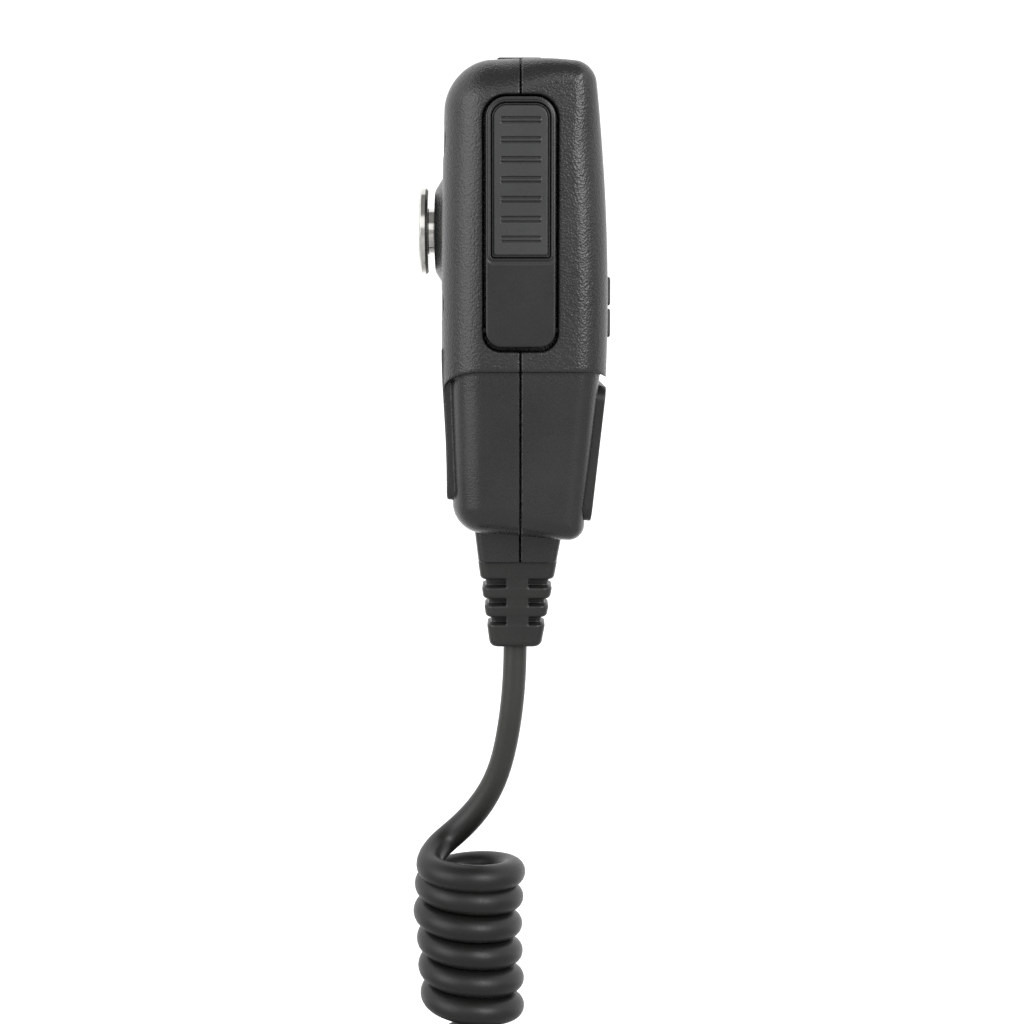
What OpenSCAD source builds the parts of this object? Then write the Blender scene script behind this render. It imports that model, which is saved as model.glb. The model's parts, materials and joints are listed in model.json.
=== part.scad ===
// Hand microphone that hangs from a metal button on its back, with a push-to-talk
// bar on one side, keys on the front and top, and a coiled cord with a modular plug.
// Frame: +Z up, +Y out of the back, -X the push-to-talk side. The origin is on the
// hang button's axis, in the middle of its neck groove. Units: millimetres.

/* [Body] */
// Half of the body's width, left to right
half_w = 28; // [27:0.5:30]
// Depth of the body, from its back to the middle of its front
body_d = 33.3; // [32.5:0.1:34.5]
// Height of the body's top above the hang button's axis
top_z = 33.2; // [33:0.1:34]
// Height of the shoulder where the grip starts (negative is below the button)
shoulder_z = -28.5; // [-29.5:0.1:-28]
// Height of the grip's lower end
grip_z = -62.7; // [-64:0.1:-62]
// Wall thickness of the two casing shells
wall = 2; // [1.6:0.1:2.2]

/* [Hang button] */
// Radius of the button's disc
button_r = 9.1; // [8.5:0.05:9.5]
// Radius of the button's neck
neck_r = 4.8; // [4:0.1:5.2]
// Width of the groove between the disc and the boss
groove_w = 1.4; // [1.2:0.05:1.8]
// Thickness of the disc
disc_t = 1.75; // [1.5:0.05:2.2]

/* [Push-to-talk bar] */
// How far the bar stands out of the side of the body
ptt_proud = 2.4; // [1.5:0.1:3]
// Number of raised ribs on the pad
ptt_ribs = 7; // [4:1:8]
// Angle that the bar turns through when pressed
ptt_angle = 2.8; // [2:0.1:2.9]

/* [Keys] */
// How far the function keys stand out of the front
key_proud = 0.85; // [0.5:0.05:1.2]
// Travel of each key
key_travel = 0.5; // [0.3:0.05:0.5]

/* [Cord] */
// Diameter of the cord
cord_d = 5.4; // [5:0.1:6]
// Outer diameter of the coiled stretch
coil_d = 23.6; // [22:0.1:25]
// Number of turns in the coil
coil_turns = 24; // [18:1:25]
// Height of one turn
coil_pitch = 6; // [5.5:0.1:6.2]

/* [Hidden] */
e = 0.01;
seam_y = -18.4;                       // plane where the two shells meet
back_y = -2.55;                       // the back's outermost plane
front_y = back_y - body_d;            // the front's outermost plane, -35.85
cord_y = -17.4;                       // the cord's axis where it leaves the strain relief
// main circuit board: front and rear faces
pcb_f = -25.6;
pcb_r = -24;
// screw posts [x, z]
POSTS = [[-18.4, 17.1], [18.4, 17.1], [-18.4, -15.3], [18.4, -15.3]];
BOARD_POSTS = [[-9, 7.5], [9, 7.5], [-20.2, -27.5], [20.2, -27.5]];
// tilted front panel of the grip
tilt = 6.4;
panel_y = -35.8;
panel_z = -31.6;
// push-to-talk bar
ptt_y0 = -25.4;
ptt_y1 = -11.7;
ptt_z0 = -23.4;
ptt_z1 = 25;
pivot = [-25.1, -20.2];               // the bar's hinge axis: [x, z]
ptt_out = -half_w - ptt_proud;
rib_pitch = 3.82;
rib_z = 20.5;
// centre of the coil, and where it starts
coil_y = -7.6;
coil_top = -134;
coil_bot = coil_top - coil_turns * coil_pitch - cord_d;
tail_z = coil_bot - 46;               // where the cord enters the plug's boot

// ---------- outer forms ----------

// one rounded corner: an ellipsoid at p with half axes r, shrunk by t all round
module corner(p, r, t, n) translate(p) scale([max(r[0] - t, 0.4), max(r[1] - t, 0.4), max(r[2] - t, 0.4)]) sphere(r = 1, $fn = n);
module pair_of(p, r, t, n) for (s = [-1, 1]) corner([s * p[0], p[1], p[2]], r, t, n);

// upper case form, from the top down past the shoulder; t insets it for the hollow inside
module upper_form(t = 0, n = 32) hull() {
  pair_of([half_w - 9, -12.3, top_z - 9], [9, 9, 9], t, n);
  pair_of([half_w - 9, seam_y, top_z - 8.85], [9, 9, 9], t, n);
  pair_of([half_w - 9, back_y - 9, -12], [9, 9, 9], t, n);
  pair_of([half_w - 9, back_y - 9.35, -40], [9, 9, 9], t, n);
  pair_of([half_w - 8, -26.8, top_z - 5.1], [8, 6.5, 4.4], t, n);
  pair_of([half_w - 8, front_y + 7.0, 5], [8, 6.5, 4.4], t, n);
  pair_of([half_w - 8, front_y + 6.5, -8], [8, 6.5, 4.4], t, n);
  pair_of([half_w - 8, front_y + 6.5, -20], [8, 6.5, 4.4], t, n);
  pair_of([half_w - 8, front_y + 7.0, -32], [8, 6.5, 4.4], t, n);
}
// grip form, below the shoulder
module grip_form(t = 0, n = 28) hull() {
  pair_of([half_w - 9.5, -10.6, -26], [8, 6.5, 5], t, n);
  pair_of([half_w - 12.5, -11.4, grip_z + 7.4], [8, 6.3, 6.3], t, n);
  pair_of([half_w - 9.5, -29.8, -26], [8, 4.4, 4.4], t, n);
  pair_of([half_w - 12.5, -27.9, grip_z + 3.4], [8, 3.4, 3.4], t, n);
}
// raised panel on the back of the grip
module back_panel() hull() {
  for (s = [-1, 1]) {
    translate([s * 19.5, back_y - 3.1, -30]) rotate([90, 0, 0]) cylinder(r = 1.5, h = 4, center = true, $fn = 24);
    translate([s * 17.5, back_y - 3.0, -52.5]) rotate([88, 0, 0]) cylinder(r = 2.2, h = 4, center = true, $fn = 24);
  }
}
// a plate with rounded corners in the X-Z plane, y from 0 to h
module plate_xz(w, z0, z1, r, h, n = 32) {
  translate([-w / 2 + r, 0, z0]) cube([w - 2 * r, h, z1 - z0]);
  translate([-w / 2, 0, z0 + r]) cube([w, h, z1 - z0 - 2 * r]);
  for (s = [-1, 1]) for (z = [z0 + r, z1 - r]) translate([s * (w / 2 - r), h, z]) rotate([90, 0, 0]) cylinder(r = r, h = h, $fn = n);
}
// the grip's side recess under the shoulder, as a prism along X
module side_recess() {
  difference() {
    translate([-40, -34.1, -75]) cube([80, 30.2, shoulder_z + 75]);
    translate([-41, -3.9 - 5, shoulder_z - 5]) difference() { translate([0, 0, 0]) cube([82, 6, 6]); rotate([0, 90, 0]) translate([0, 0, -1]) cylinder(r = 5, h = 84, $fn = 48); }
    translate([-41, -34.1 - 1, shoulder_z - 2.6]) difference() { cube([82, 3.6, 3.6]); translate([-1, 3.6, 0]) rotate([0, 90, 0]) cylinder(r = 2.6, h = 84, $fn = 40); }
  }
}
module collar_form() hull() {
  for (s = [-1, 1]) {
    for (y = [-10.8, -25.4]) translate([s * 7.2, y, -60]) cylinder(r = 1.8, h = 1, $fn = 24);
    for (y = [-11.4, -24.2]) translate([s * 6.6, y, -68.9]) cylinder(r = 1.7, h = 1, $fn = 24);
  }
}
module outer_case() {
  difference() {
    upper_form();
    side_recess();
    translate([-40, -40, -80]) cube([80, 9.9, 80 - 30.9]);     // the front ends above the panel
    translate([-40, -20, -80]) cube([80, 30, 80 - 37]);
  }
  grip_form();
  intersection() { back_panel(); translate([-30, -12, -60]) cube([60, 9.35, 40]); }
  collar_form();
}
module case_hollow() {
  difference() {
    upper_form(wall, 24);
    translate([-40, -50, -90]) cube([80, 60, 90 + shoulder_z + wall]);
  }
  grip_form(wall, 24);
}

// ---------- cut-outs ----------
// plan of the push-to-talk opening, in Y-Z, r1 at the top and r0 at the bottom
module yz_plate(y0, y1, z0, z1, r1, r0, x, h) {
  translate([x, y0, z0 + r0]) cube([h, y1 - y0, z1 - z0 - r0 - r1]);
  translate([x, y0 + r1, z0 + r0]) cube([h, y1 - y0 - 2 * r1, z1 - z0 - r0]);
  translate([x, y0 + r0, z0]) cube([h, y1 - y0 - 2 * r0, r0 + 1]);
  for (y = [y0 + r0, y1 - r0]) translate([x, y, z0 + r0]) rotate([0, 90, 0]) cylinder(r = r0, h = h, $fn = 40);
  for (y = [y0 + r1, y1 - r1]) translate([x, y, z1 - r1]) rotate([0, 90, 0]) cylinder(r = r1, h = h, $fn = 40);
}
module ptt_opening() yz_plate(-26, -11.25, -24.4, 25.6, 4.5, 3.6, -half_w - 4, 8);
module panel() translate([0, panel_y, panel_z]) rotate([tilt, 0, 0]) children();
// columns of function keys, and rows
FX = [-10.2, 0, 10.2];
fkw = 9;
FROW = [[-15.35, -9.6], [-21.9, -15.9]];
module function_openings() for (x = FX) translate([x - fkw / 2 - 0.25, -45, -22.15]) cube([fkw + 0.5, 14, 12.8]);
module top_openings() for (s = [-1, 1]) translate([s * 8.6 - 5.3, -23.15, 20]) cube([10.6, 9.7, 20]);
// centre of the number key in column c, row r, on the panel
NX = [-12, 0, 12];
function nz(r) = -4.5 - r * 6.25;
nkw = 9.8;
nkh = 4.7;

// hole through the collar and the pocket above it for the strain relief's flange
module relief_seat() {
  translate([-4.9, cord_y - 5.5, -80]) cube([9.8, 11, 22]);
  translate([-6.8, cord_y - 7.3, -60.8]) cube([13.6, 14.6, 4]);
}

// ---------- casing ----------
module along_y(p, r, h, n = 32) translate(p) rotate([90, 0, 0]) cylinder(r = r, h = h, $fn = n);

module rear_shell() color([0.16, 0.16, 0.16]) difference() {
  union() {
    difference() {
      union() {
        intersection() { outer_case(); translate([-50, seam_y, -100]) cube([100, 40, 150]); }
        // boss under the hang button
        translate([0, back_y, 0]) rotate([-90, 0, 0]) cylinder(r1 = 11.4, r2 = 8.4, h = -back_y - groove_w / 2, $fn = 64);
        along_y([0, back_y + e, 0], 11.4, 1.5, 64);
      }
      case_hollow();
    }
    // screw posts, the button's seat, the spring's seat
    for (p = POSTS) {
      along_y([p[0], back_y - 1.5, p[1]], 2.8, -seam_y + back_y - 1.5);
      along_y([p[0], back_y - 1.5, p[1]], 4, 5.2);
    }
    along_y([0, back_y - 1, 0], 6.5, 4);
    translate([-20.4, seam_y, 4.6]) cube([1.6, -seam_y + back_y - 1, 6]);
    intersection() { translate([-27.5, -11.2, pivot[1] - 3.2]) cube([6, 3.6, 6.4]); upper_form(0.8, 20); }
  }
  ptt_opening();
  top_openings();
  for (p = POSTS) {
    along_y([p[0], 5, p[1]], 3, 5 + 6.6);
    along_y([p[0], 5, p[1]], 1.5, 40);
  }
  along_y([0, 5, 0], 3.2, 20);
  along_y([pivot[0], -8.4, pivot[1]], 1.03, 6);
  relief_seat();
}

module front_shell() color([0.16, 0.16, 0.16]) difference() {
  union() {
    difference() {
      intersection() { outer_case(); translate([-50, -60 + e, -100]) cube([100, 60 + seam_y - e, 150]); }
      case_hollow();
    }
    intersection() {
      union() {
        for (p = POSTS) along_y([p[0], seam_y, p[1]], 2.8, 20);
        for (p = BOARD_POSTS) along_y([p[0], pcb_f, p[1]], 2.4, 20);
        along_y([0, -30.2, 19.5], 7.6, 4);
        translate([-27.4, -31.3, pivot[1] - 3.2]) cube([5.6, 3, 6.4]);
      }
      upper_form(1, 20);
    }
  }
  ptt_opening();
  top_openings();
  function_openings();
  for (p = POSTS) along_y([p[0], -15, p[1]], 1.15, 15.5);
  for (p = BOARD_POSTS) along_y([p[0], -20, p[1]], 0.9, 11);
  along_y([pivot[0], -20, pivot[1]], 1.03, 9.9);
  // sound slots and the capsule's seat
  for (i = [-2:2]) translate([-1 * (7.2 - abs(i) * 1.1), -40, 19.5 + i * 2.5 - 0.55]) cube([2 * (7.2 - abs(i) * 1.1), 12, 1.1]);
  along_y([0, -28, 19.5], 6.45, 4.3, 48);
  // seat and window of the keypad panel
  panel() {
    translate([0, -4, 0]) plate_xz(42.3, -27.75, 0.15, 3, 6.6);
    translate([-18.6, 0, -26.1]) cube([37.2, 9, 24.9]);
  }
  relief_seat();
}

module keypad_bezel() color([0.13, 0.13, 0.13]) panel() difference() {
  plate_xz(42, -27.6, 0, 3, 2.55);
  for (x = NX) for (r = [0:3]) translate([x - nkw / 2 - 0.2, -1, nz(r) - nkh / 2 - 0.2]) cube([nkw + 0.4, 5, nkh + 0.4]);
}

module case_screws() color([0.5, 0.5, 0.52]) for (p = POSTS) {
  difference() {
    along_y([p[0], -4.75, p[1]], 2.7, 1.8);
    translate([p[0] - 1.6, -5.6, p[1] - 0.3]) cube([3.2, 1.2, 0.6]);
    translate([p[0] - 0.3, -5.6, p[1] - 1.6]) cube([0.6, 1.2, 3.2]);
  }
  along_y([p[0], -6.4, p[1]], 1.25, 20);
}

// ---------- hang button ----------
module hang_button() color([0.78, 0.77, 0.74]) difference() {
  rotate([-90, 0, 0]) rotate_extrude($fn = 96) polygon([
    [0, -4.4], [3.1, -4.4], [3.1, -groove_w / 2], [neck_r, -groove_w / 2], [neck_r, groove_w / 2],
    [button_r - 0.3, groove_w / 2], [button_r, groove_w / 2 + 0.3], [button_r, groove_w / 2 + disc_t - 0.45],
    [button_r - 0.45, groove_w / 2 + disc_t], [0, groove_w / 2 + disc_t]]);
  along_y([0, 1, 0], 1.25, 20);
}
module hang_button_washer() color([0.7, 0.7, 0.7]) difference() {
  along_y([0, -7.6, 0], 4.6, 0.8);
  along_y([0, -7, 0], 1.7, 3);
}
module hang_button_screw() color([0.6, 0.6, 0.62]) difference() {
  union() {
    along_y([0, 0.5, 0], 1.25, 8.9);
    along_y([0, -8.4, 0], 2.8, 1.9);
  }
  translate([-1.7, -11, -0.3]) cube([3.4, 1.3, 0.6]);
  translate([-0.3, -11, -1.7]) cube([0.6, 1.3, 3.4]);
}

// ---------- sound and boards ----------
module grille_cloth() color([0.05, 0.05, 0.05]) along_y([0, -32.06, 19.5], 6.4, 0.2, 40);
module mic_capsule() color([0.75, 0.75, 0.76]) {
  along_y([0, pcb_f, 19.5], 4.85, 5.4, 48);
}
module capsule_boot() color([0.1, 0.1, 0.1]) difference() {
  along_y([0, pcb_f, 19.5], 6.3, 6.4, 48);
  along_y([0, -20, 19.5], 4.9, 11.05, 48);
  along_y([0, -20, 19.5], 3.5, 20, 48);
}
module circuit_board() color([0.05, 0.32, 0.16]) difference() {
  union() {
    translate([-22, pcb_f, -26]) cube([44, 1.6, 52]);
    translate([-19.5, pcb_f, -56]) cube([39, 1.6, 31]);
    translate([-22, pcb_f, -31]) cube([44, 1.6, 6]);
  }
  for (p = POSTS) translate([p[0] - (p[0] < 0 ? 8.2 : 3.2), -30, p[1] - 3.2]) cube([11.4, 10, 6.4]);
  for (p = BOARD_POSTS) along_y([p[0], -20, p[1]], 1.25, 10);
  translate([-30, -30, -25.5]) cube([9, 10, 11]);
}
module board_screws() color([0.6, 0.6, 0.62]) for (p = BOARD_POSTS) {
  along_y([p[0], pcb_r + 1.2, p[1]], 2, 1.2);
  along_y([p[0], pcb_r, p[1]], 1, 6);
}
// global height of a number key's centre at local depth d
function key_gz(r, d) = panel_z + nz(r) * cos(tilt) + d * sin(tilt);
module dome_switches() color([0.72, 0.72, 0.7]) {
  for (x = FX) for (w = FROW) translate([x - 2.4, pcb_f - 1, (w[0] + w[1]) / 2 - 1.9]) cube([4.8, 1, 3.8]);
  for (x = NX) for (r = [0:3]) translate([x - 2.4, pcb_f - 1, key_gz(r, 7) - 1.9]) cube([4.8, 1, 3.8]);
}
module keypad_mat() color([0.25, 0.25, 0.25]) difference() {
  union() {
    translate([-14.8, pcb_f - 0.7, -23]) cube([29.6, 0.7, 15]);
    translate([-18.2, pcb_f - 0.7, -56]) cube([36.4, 0.7, 23]);
  }
  for (x = FX) for (w = FROW) translate([x - 2.6, pcb_f - 2, (w[0] + w[1]) / 2 - 2.1]) cube([5.2, 3, 4.2]);
  for (x = NX) for (r = [0:3]) translate([x - 2.6, pcb_f - 2, key_gz(r, 7) - 2.1]) cube([5.2, 3, 4.2]);
}
module top_switch_board() color([0.05, 0.32, 0.16]) translate([-13.5, -23.4, 23.6]) cube([27, 9.4, 1.2]);
module top_switches() color([0.3, 0.3, 0.3]) for (s = [-1, 1]) {
  translate([s * 8.6 - 3, -21.4, 24.8]) cube([6, 6, 2.2]);
  translate([s * 8.6, -18.4, 27]) cylinder(r = 1.3, h = 0.7, $fn = 24);
}

// ---------- keys ----------
// a block with chamfered front edges: x, z size, y from y0 (front) back to y1
module cap(x, z0, z1, w, y0, y1, c = 0.35) {
  translate([x, 0, 0]) polyhedron(
    points = [for (k = [[c, y0], [0, y0 + c], [0, y1]]) for (q = [[-1, 0], [1, 0], [1, 1], [-1, 1]])
      [q[0] * (w / 2 - k[0]), k[1], q[1] == 0 ? z0 + k[0] : z1 - k[0]]],
    faces = concat([[0, 3, 2, 1], [8, 9, 10, 11]],
      [for (k = [0, 1]) for (i = [0:3]) [k * 4 + i, k * 4 + (i + 1) % 4, k * 4 + 4 + (i + 1) % 4, k * 4 + 4 + i]]));
}
module function_key(c, r) {
  z0 = FROW[r][0]; z1 = FROW[r][1];
  cap(FX[c], z0, z1, fkw, front_y - key_proud, -33.1);
  translate([FX[c] - fkw / 2 - 0.4, -33.3, z0]) cube([fkw + 0.8, 0.8, z1 - z0]);
  translate([FX[c], 0, (z0 + z1) / 2]) rotate([-90, 0, 0]) translate([0, 0, -32.6]) cylinder(r = 1.5, h = 32.6 + pcb_f - 1 - key_travel - 0.15, $fn = 24);
}
module number_key(c, r) panel() {
  cap(NX[c], nz(r) - nkh / 2, nz(r) + nkh / 2, nkw, 0.12, 3.3, 0.3);
  translate([NX[c] - nkw / 2 - 0.5, 3.1, nz(r) - nkh / 2 - 0.5]) cube([nkw + 1, 0.7, nkh + 1]);
  d = (pcb_f - 1 - key_travel - 0.2 - panel_y + nz(r) * sin(tilt)) / cos(tilt) - 0.15;
  translate([NX[c], 3.6, nz(r)]) rotate([-90, 0, 0]) cylinder(r = 1.3, h = d - 3.6, $fn = 24);
}
module key_colour() color([0.2, 0.2, 0.2]) children();
module function_key_1() key_colour() function_key(0, 0);
module function_key_2() key_colour() function_key(1, 0);
module function_key_3() key_colour() function_key(2, 0);
module function_key_4() key_colour() function_key(0, 1);
module function_key_5() key_colour() function_key(1, 1);
module function_key_6() key_colour() function_key(2, 1);
module number_key_1() key_colour() number_key(0, 0);
module number_key_2() key_colour() number_key(1, 0);
module number_key_3() key_colour() number_key(2, 0);
module number_key_4() key_colour() number_key(0, 1);
module number_key_5() key_colour() number_key(1, 1);
module number_key_6() key_colour() number_key(2, 1);
module number_key_7() key_colour() number_key(0, 2);
module number_key_8() key_colour() number_key(1, 2);
module number_key_9() key_colour() number_key(2, 2);
module star_key() key_colour() number_key(0, 3);
module number_key_0() key_colour() number_key(1, 3);
module hash_key() key_colour() number_key(2, 3);
// a key on the top, at x
module top_key(x) key_colour() {
  rotate([-90, 0, 0]) cap(x, -22.9, -13.7, 10, -34.35, -30.2, 0.4);
  translate([x - 5.9, -23.6, 29.7]) cube([11.8, 10.6, 0.8]);
  translate([x, -18.4, 28.4]) cylinder(r = 1.6, h = 1.6, $fn = 24);
}
module up_key() top_key(-8.6);
module down_key() top_key(8.6);

// ---------- push-to-talk ----------
module ptt_bar() color([0.22, 0.22, 0.22]) difference() {
  union() {
    yz_plate(ptt_y0, ptt_y1, ptt_z0, ptt_z1, 4.1, 3.1, ptt_out + 0.5, half_w + ptt_proud - 26.3);
    yz_plate(ptt_y0 + 0.5, ptt_y1 - 0.5, ptt_z0 + 0.5, ptt_z1 - 0.5, 3.6, 2.6, ptt_out, 1);
    // hinge barrel, and the rib that presses the switch
    translate([pivot[0], ptt_y0 + 0.6, pivot[1]]) rotate([-90, 0, 0]) cylinder(r = 1.9, h = 12.5, $fn = 40);
    translate([-26.9, -20.9, -2]) cube([3.1, 5, 4]);
  }
  translate([pivot[0], ptt_y0 - 1, pivot[1]]) rotate([-90, 0, 0]) cylinder(r = 1.05, h = 20, $fn = 40);
  // seat of the ribbed pad
  yz_plate(-24.15, -13.1, -5.9, 23.6, 2.9, 0.6, ptt_out - 1, 2);
  // pocket for the spring
  translate([-27.3, -15.2, 7.6]) rotate([0, 90, 0]) cylinder(r = 3, h = 5, $fn = 32);
}
module ptt_pad() color([0.24, 0.24, 0.24]) {
  yz_plate(-24.1, -13.15, -5.85, 23.55, 2.85, 0.6, ptt_out + 0.2, 0.8);
  for (i = [0:ptt_ribs - 1]) translate([ptt_out - 0.05, -22.4, rib_z - i * rib_pitch - 0.3]) cube([0.4, 7.6, 0.6]);
}
module ptt_pin() color([0.75, 0.75, 0.76]) translate([pivot[0], -29.5, pivot[1]]) rotate([-90, 0, 0]) cylinder(r = 1, h = 21, $fn = 40);
// a coiled wire: turns n, mean radius r, wire radius w, from x = 0 to x = l
module spring(r, w, n, l) {
  k = n * 14;
  pts = [for (i = [0:k]) for (j = [0:5]) let (a = i / k * n * 360, b = j * 60)
    [w + (l - 2 * w) * i / k + w * sin(b), (r + w * cos(b)) * cos(a), (r + w * cos(b)) * sin(a)]];
  polyhedron(points = pts, faces = concat([[5, 4, 3, 2, 1, 0], [for (j = [0:5]) k * 6 + j]],
    [for (i = [0:k - 1]) for (j = [0:5]) [i * 6 + j, i * 6 + (j + 1) % 6, (i + 1) * 6 + (j + 1) % 6, (i + 1) * 6 + j]]));
}
module ptt_spring() color([0.7, 0.7, 0.7]) translate([-27.25, -15.2, 7.6]) spring(2.2, 0.3, 4, 6.8);
module ptt_switch() color([0.25, 0.25, 0.26]) difference() {
  translate([-20.6, pcb_r, -3.6]) cube([6, 7.6, 7.2]);
  translate([-21, -19.8, -1.8]) cube([2.6, 3, 3.6]);
}
module ptt_plunger() color([0.8, 0.8, 0.78]) translate([-23.5, -19.6, -1.6]) cube([3.6, 2.6, 3.2]);

// ---------- strain relief and inner end of the cord ----------
module relief_ring(z0, z1) hull() for (z = [z0, z1]) let (k = (-68.9 - z) / 18.6, hy = 8.2 - k * 2.9, hx = 6.6 - k * 1.6, yc = -17.9 + k * 0.45)
  for (sx = [-1, 1]) for (sy = [-1, 1]) translate([sx * (hx - 1.4), yc + sy * (hy - 1.4), z]) cylinder(r = 1.4, h = 0.02, $fn = 20);
module strain_relief() color([0.12, 0.12, 0.12]) difference() {
  union() {
    relief_ring(-72.8, -68.92);
    relief_ring(-77.0, -74.4);
    relief_ring(-80.95, -78.3);
    relief_ring(-87.4, -82.4);
    // spine that joins the rings, and the core round the cord
    hull() { translate([-6.3, -20.1, -70.2]) cube([12.6, 4.5, 0.2]); translate([-5.05, -19.8, -86]) cube([10.1, 4.2, 0.2]); }
    translate([0, cord_y, -86]) cylinder(r = 3.9, h = 16, $fn = 40);
    translate([-4.7, cord_y - 5.3, -69]) cube([9.4, 10.6, 9]);
    translate([-6.5, cord_y - 7, -60.6]) cube([13, 14, 2.4]);
  }
  translate([0, cord_y, -100]) cylinder(r = 2.55, h = 60, $fn = 40);
}
module cord_lead_in() color([0.1, 0.1, 0.1]) translate([0, cord_y, -87.4]) cylinder(r = 2.5, h = 37.4, $fn = 40);
module cord_clamp() color([0.6, 0.6, 0.6]) difference() {
  union() {
    translate([-8.5, pcb_r, -55.5]) cube([17, 1.2, 4.5]);
    translate([-4, pcb_r, -55.5]) cube([8, 10, 4.5]);
  }
  translate([0, cord_y, -60]) cylinder(r = 2.52, h = 20, $fn = 40);
  for (s = [-1, 1]) along_y([s * 6.5, -10, -53.2], 0.95, 20);
}
module clamp_screws() color([0.6, 0.6, 0.62]) for (s = [-1, 1]) {
  along_y([s * 6.5, pcb_r + 2.3, -53.2], 1.7, 1.1);
}
module wire_header() color([0.85, 0.83, 0.78]) difference() {
  translate([-5, pcb_r, -43]) cube([10, 5.5, 5]);
  for (i = [-1.5:1:1.5]) translate([i * 2.3 - 0.8, pcb_r + 2, -44]) cube([1.6, 2, 4]);
}
// a round wire or tube through points p, in n flats
function unit(v) = v / norm(v);
module tube(p, r, n) {
  m = len(p);
  pts = [for (i = [0:m - 1]) let (t = unit(p[min(i + 1, m - 1)] - p[max(i - 1, 0)]), u = unit(cross(t, [1, 0.02, 0])), v = cross(t, u))
    for (j = [0:n - 1]) p[i] + r * (cos(j * 360 / n) * u + sin(j * 360 / n) * v)];
  polyhedron(points = pts, faces = concat([[for (j = [n - 1:-1:0]) j], [for (j = [0:n - 1]) (m - 1) * n + j]],
    [for (i = [0:m - 2]) for (j = [0:n - 1]) [i * n + j, i * n + (j + 1) % n, (i + 1) * n + (j + 1) % n, (i + 1) * n + j]]));
}
module inner_wires() for (i = [0:3]) color([[0.7, 0.1, 0.1], [0.9, 0.9, 0.9], [0.1, 0.5, 0.2], [0.8, 0.7, 0.1]][i])
  tube([[i * 0.8 - 1.2, cord_y - 0.5, -50], [i * 0.8 - 1.2, cord_y - 0.5, -49.4], [i * 1.4 - 2.1, cord_y - 1, -48], [(i - 1.5) * 2.3, -20.4, -45], [(i - 1.5) * 2.3, -21, -42.5], [(i - 1.5) * 2.3, -21, -40.5]], 0.45, 6);

// ---------- cord ----------
// route of the cord from the strain relief down to the coil: x, y, z
ROUTE = [[0, -17.4, -87.4], [0, -17.35, -91], [0.2, -17.1, -96.5], [0.8, -16.4, -103], [2, -15, -110],
  [3.6, -12.8, -116.6], [5.4, -9, -123.2], [6.6, -4.9, -128.2], [6.3, -2, -131.2], [4.6, 0.2, -133.3]];
TAIL = [[6.5, -5.3, coil_bot + 0.8], [5.5, -4.5, coil_bot - 0.9], [2.4, -3.8, coil_bot - 6.1], [0.2, -5, coil_bot - 12.1],
  [-0.3, -6.5, coil_bot - 18.6], [0, -7.5, coil_bot - 25.1], [0, -7.6, coil_bot - 32.1], [0, -7.6, tail_z]];
// a smooth curve through points, with k steps between them
function spline(p, k) = [for (i = [0:len(p) - 2]) for (s = [0:k - 1]) let (u = s / k,
  a = p[max(i - 1, 0)], b = p[i], c = p[i + 1], d = p[min(i + 2, len(p) - 1)])
  0.5 * (2 * b + (c - a) * u + (2 * a - 5 * b + 4 * c - d) * u * u + (3 * b - a - 3 * c + d) * u * u * u), p[len(p) - 1]];
module cord_straight() color([0.13, 0.13, 0.13]) tube(spline(ROUTE, 2), cord_d / 2 - 0.1, 10);
module cord_coil() color([0.13, 0.13, 0.13]) difference() {
  translate([0, coil_y, coil_bot]) cylinder(r = coil_d / 2, h = coil_top - coil_bot, $fn = 64);
  translate([0, coil_y, coil_bot - 1]) cylinder(r = coil_d / 2 - cord_d, h = coil_top - coil_bot + 2, $fn = 48);
}
module cord_tail() color([0.13, 0.13, 0.13]) tube(spline(TAIL, 2), cord_d / 2 - 0.1, 10);

// ---------- plug ----------
module at_plug() translate([0, coil_y, tail_z]) children();
module plug_boot() color([0.1, 0.1, 0.1]) at_plug() difference() {
  union() {
    translate([0, 0, -11]) cylinder(r1 = 4.6, r2 = 3.6, h = 13, $fn = 48);
    translate([-5.6, -3.6, -14]) cube([11.2, 7.2, 5]);
  }
  translate([0, 0, -20]) cylinder(r = cord_d / 2 - 0.05, h = 30, $fn = 40);
}
module plug_body() color([0.85, 0.87, 0.88, 0.5]) at_plug() difference() {
  translate([-5.84, -4, -35.5]) cube([11.68, 8, 21.4]);
  for (i = [0:7]) translate([(i - 3.5) * 1.02 - 0.2, 1.4, -36]) cube([0.4, 3, 6.2]);
  translate([-4.3, -2.4, -22]) cube([8.6, 4.8, 10]);
  translate([-3.3, -5, -16.6]) cube([6.6, 1.6, 3]);
}
module plug_contacts() color([0.85, 0.68, 0.3]) at_plug() for (i = [0:7])
  translate([(i - 3.5) * 1.02 - 0.15, 1.5, -35.4]) cube([0.3, 2, 5.4]);
module plug_latch() color([0.85, 0.87, 0.88, 0.5]) at_plug() translate([0, -5.1, -34.9]) rotate([9, 0, 0]) {
  translate([-1.6, 0, 0]) cube([3.2, 1, 9]);
  translate([-3, 0, 8.5]) cube([6, 1, 11]);
}

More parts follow.
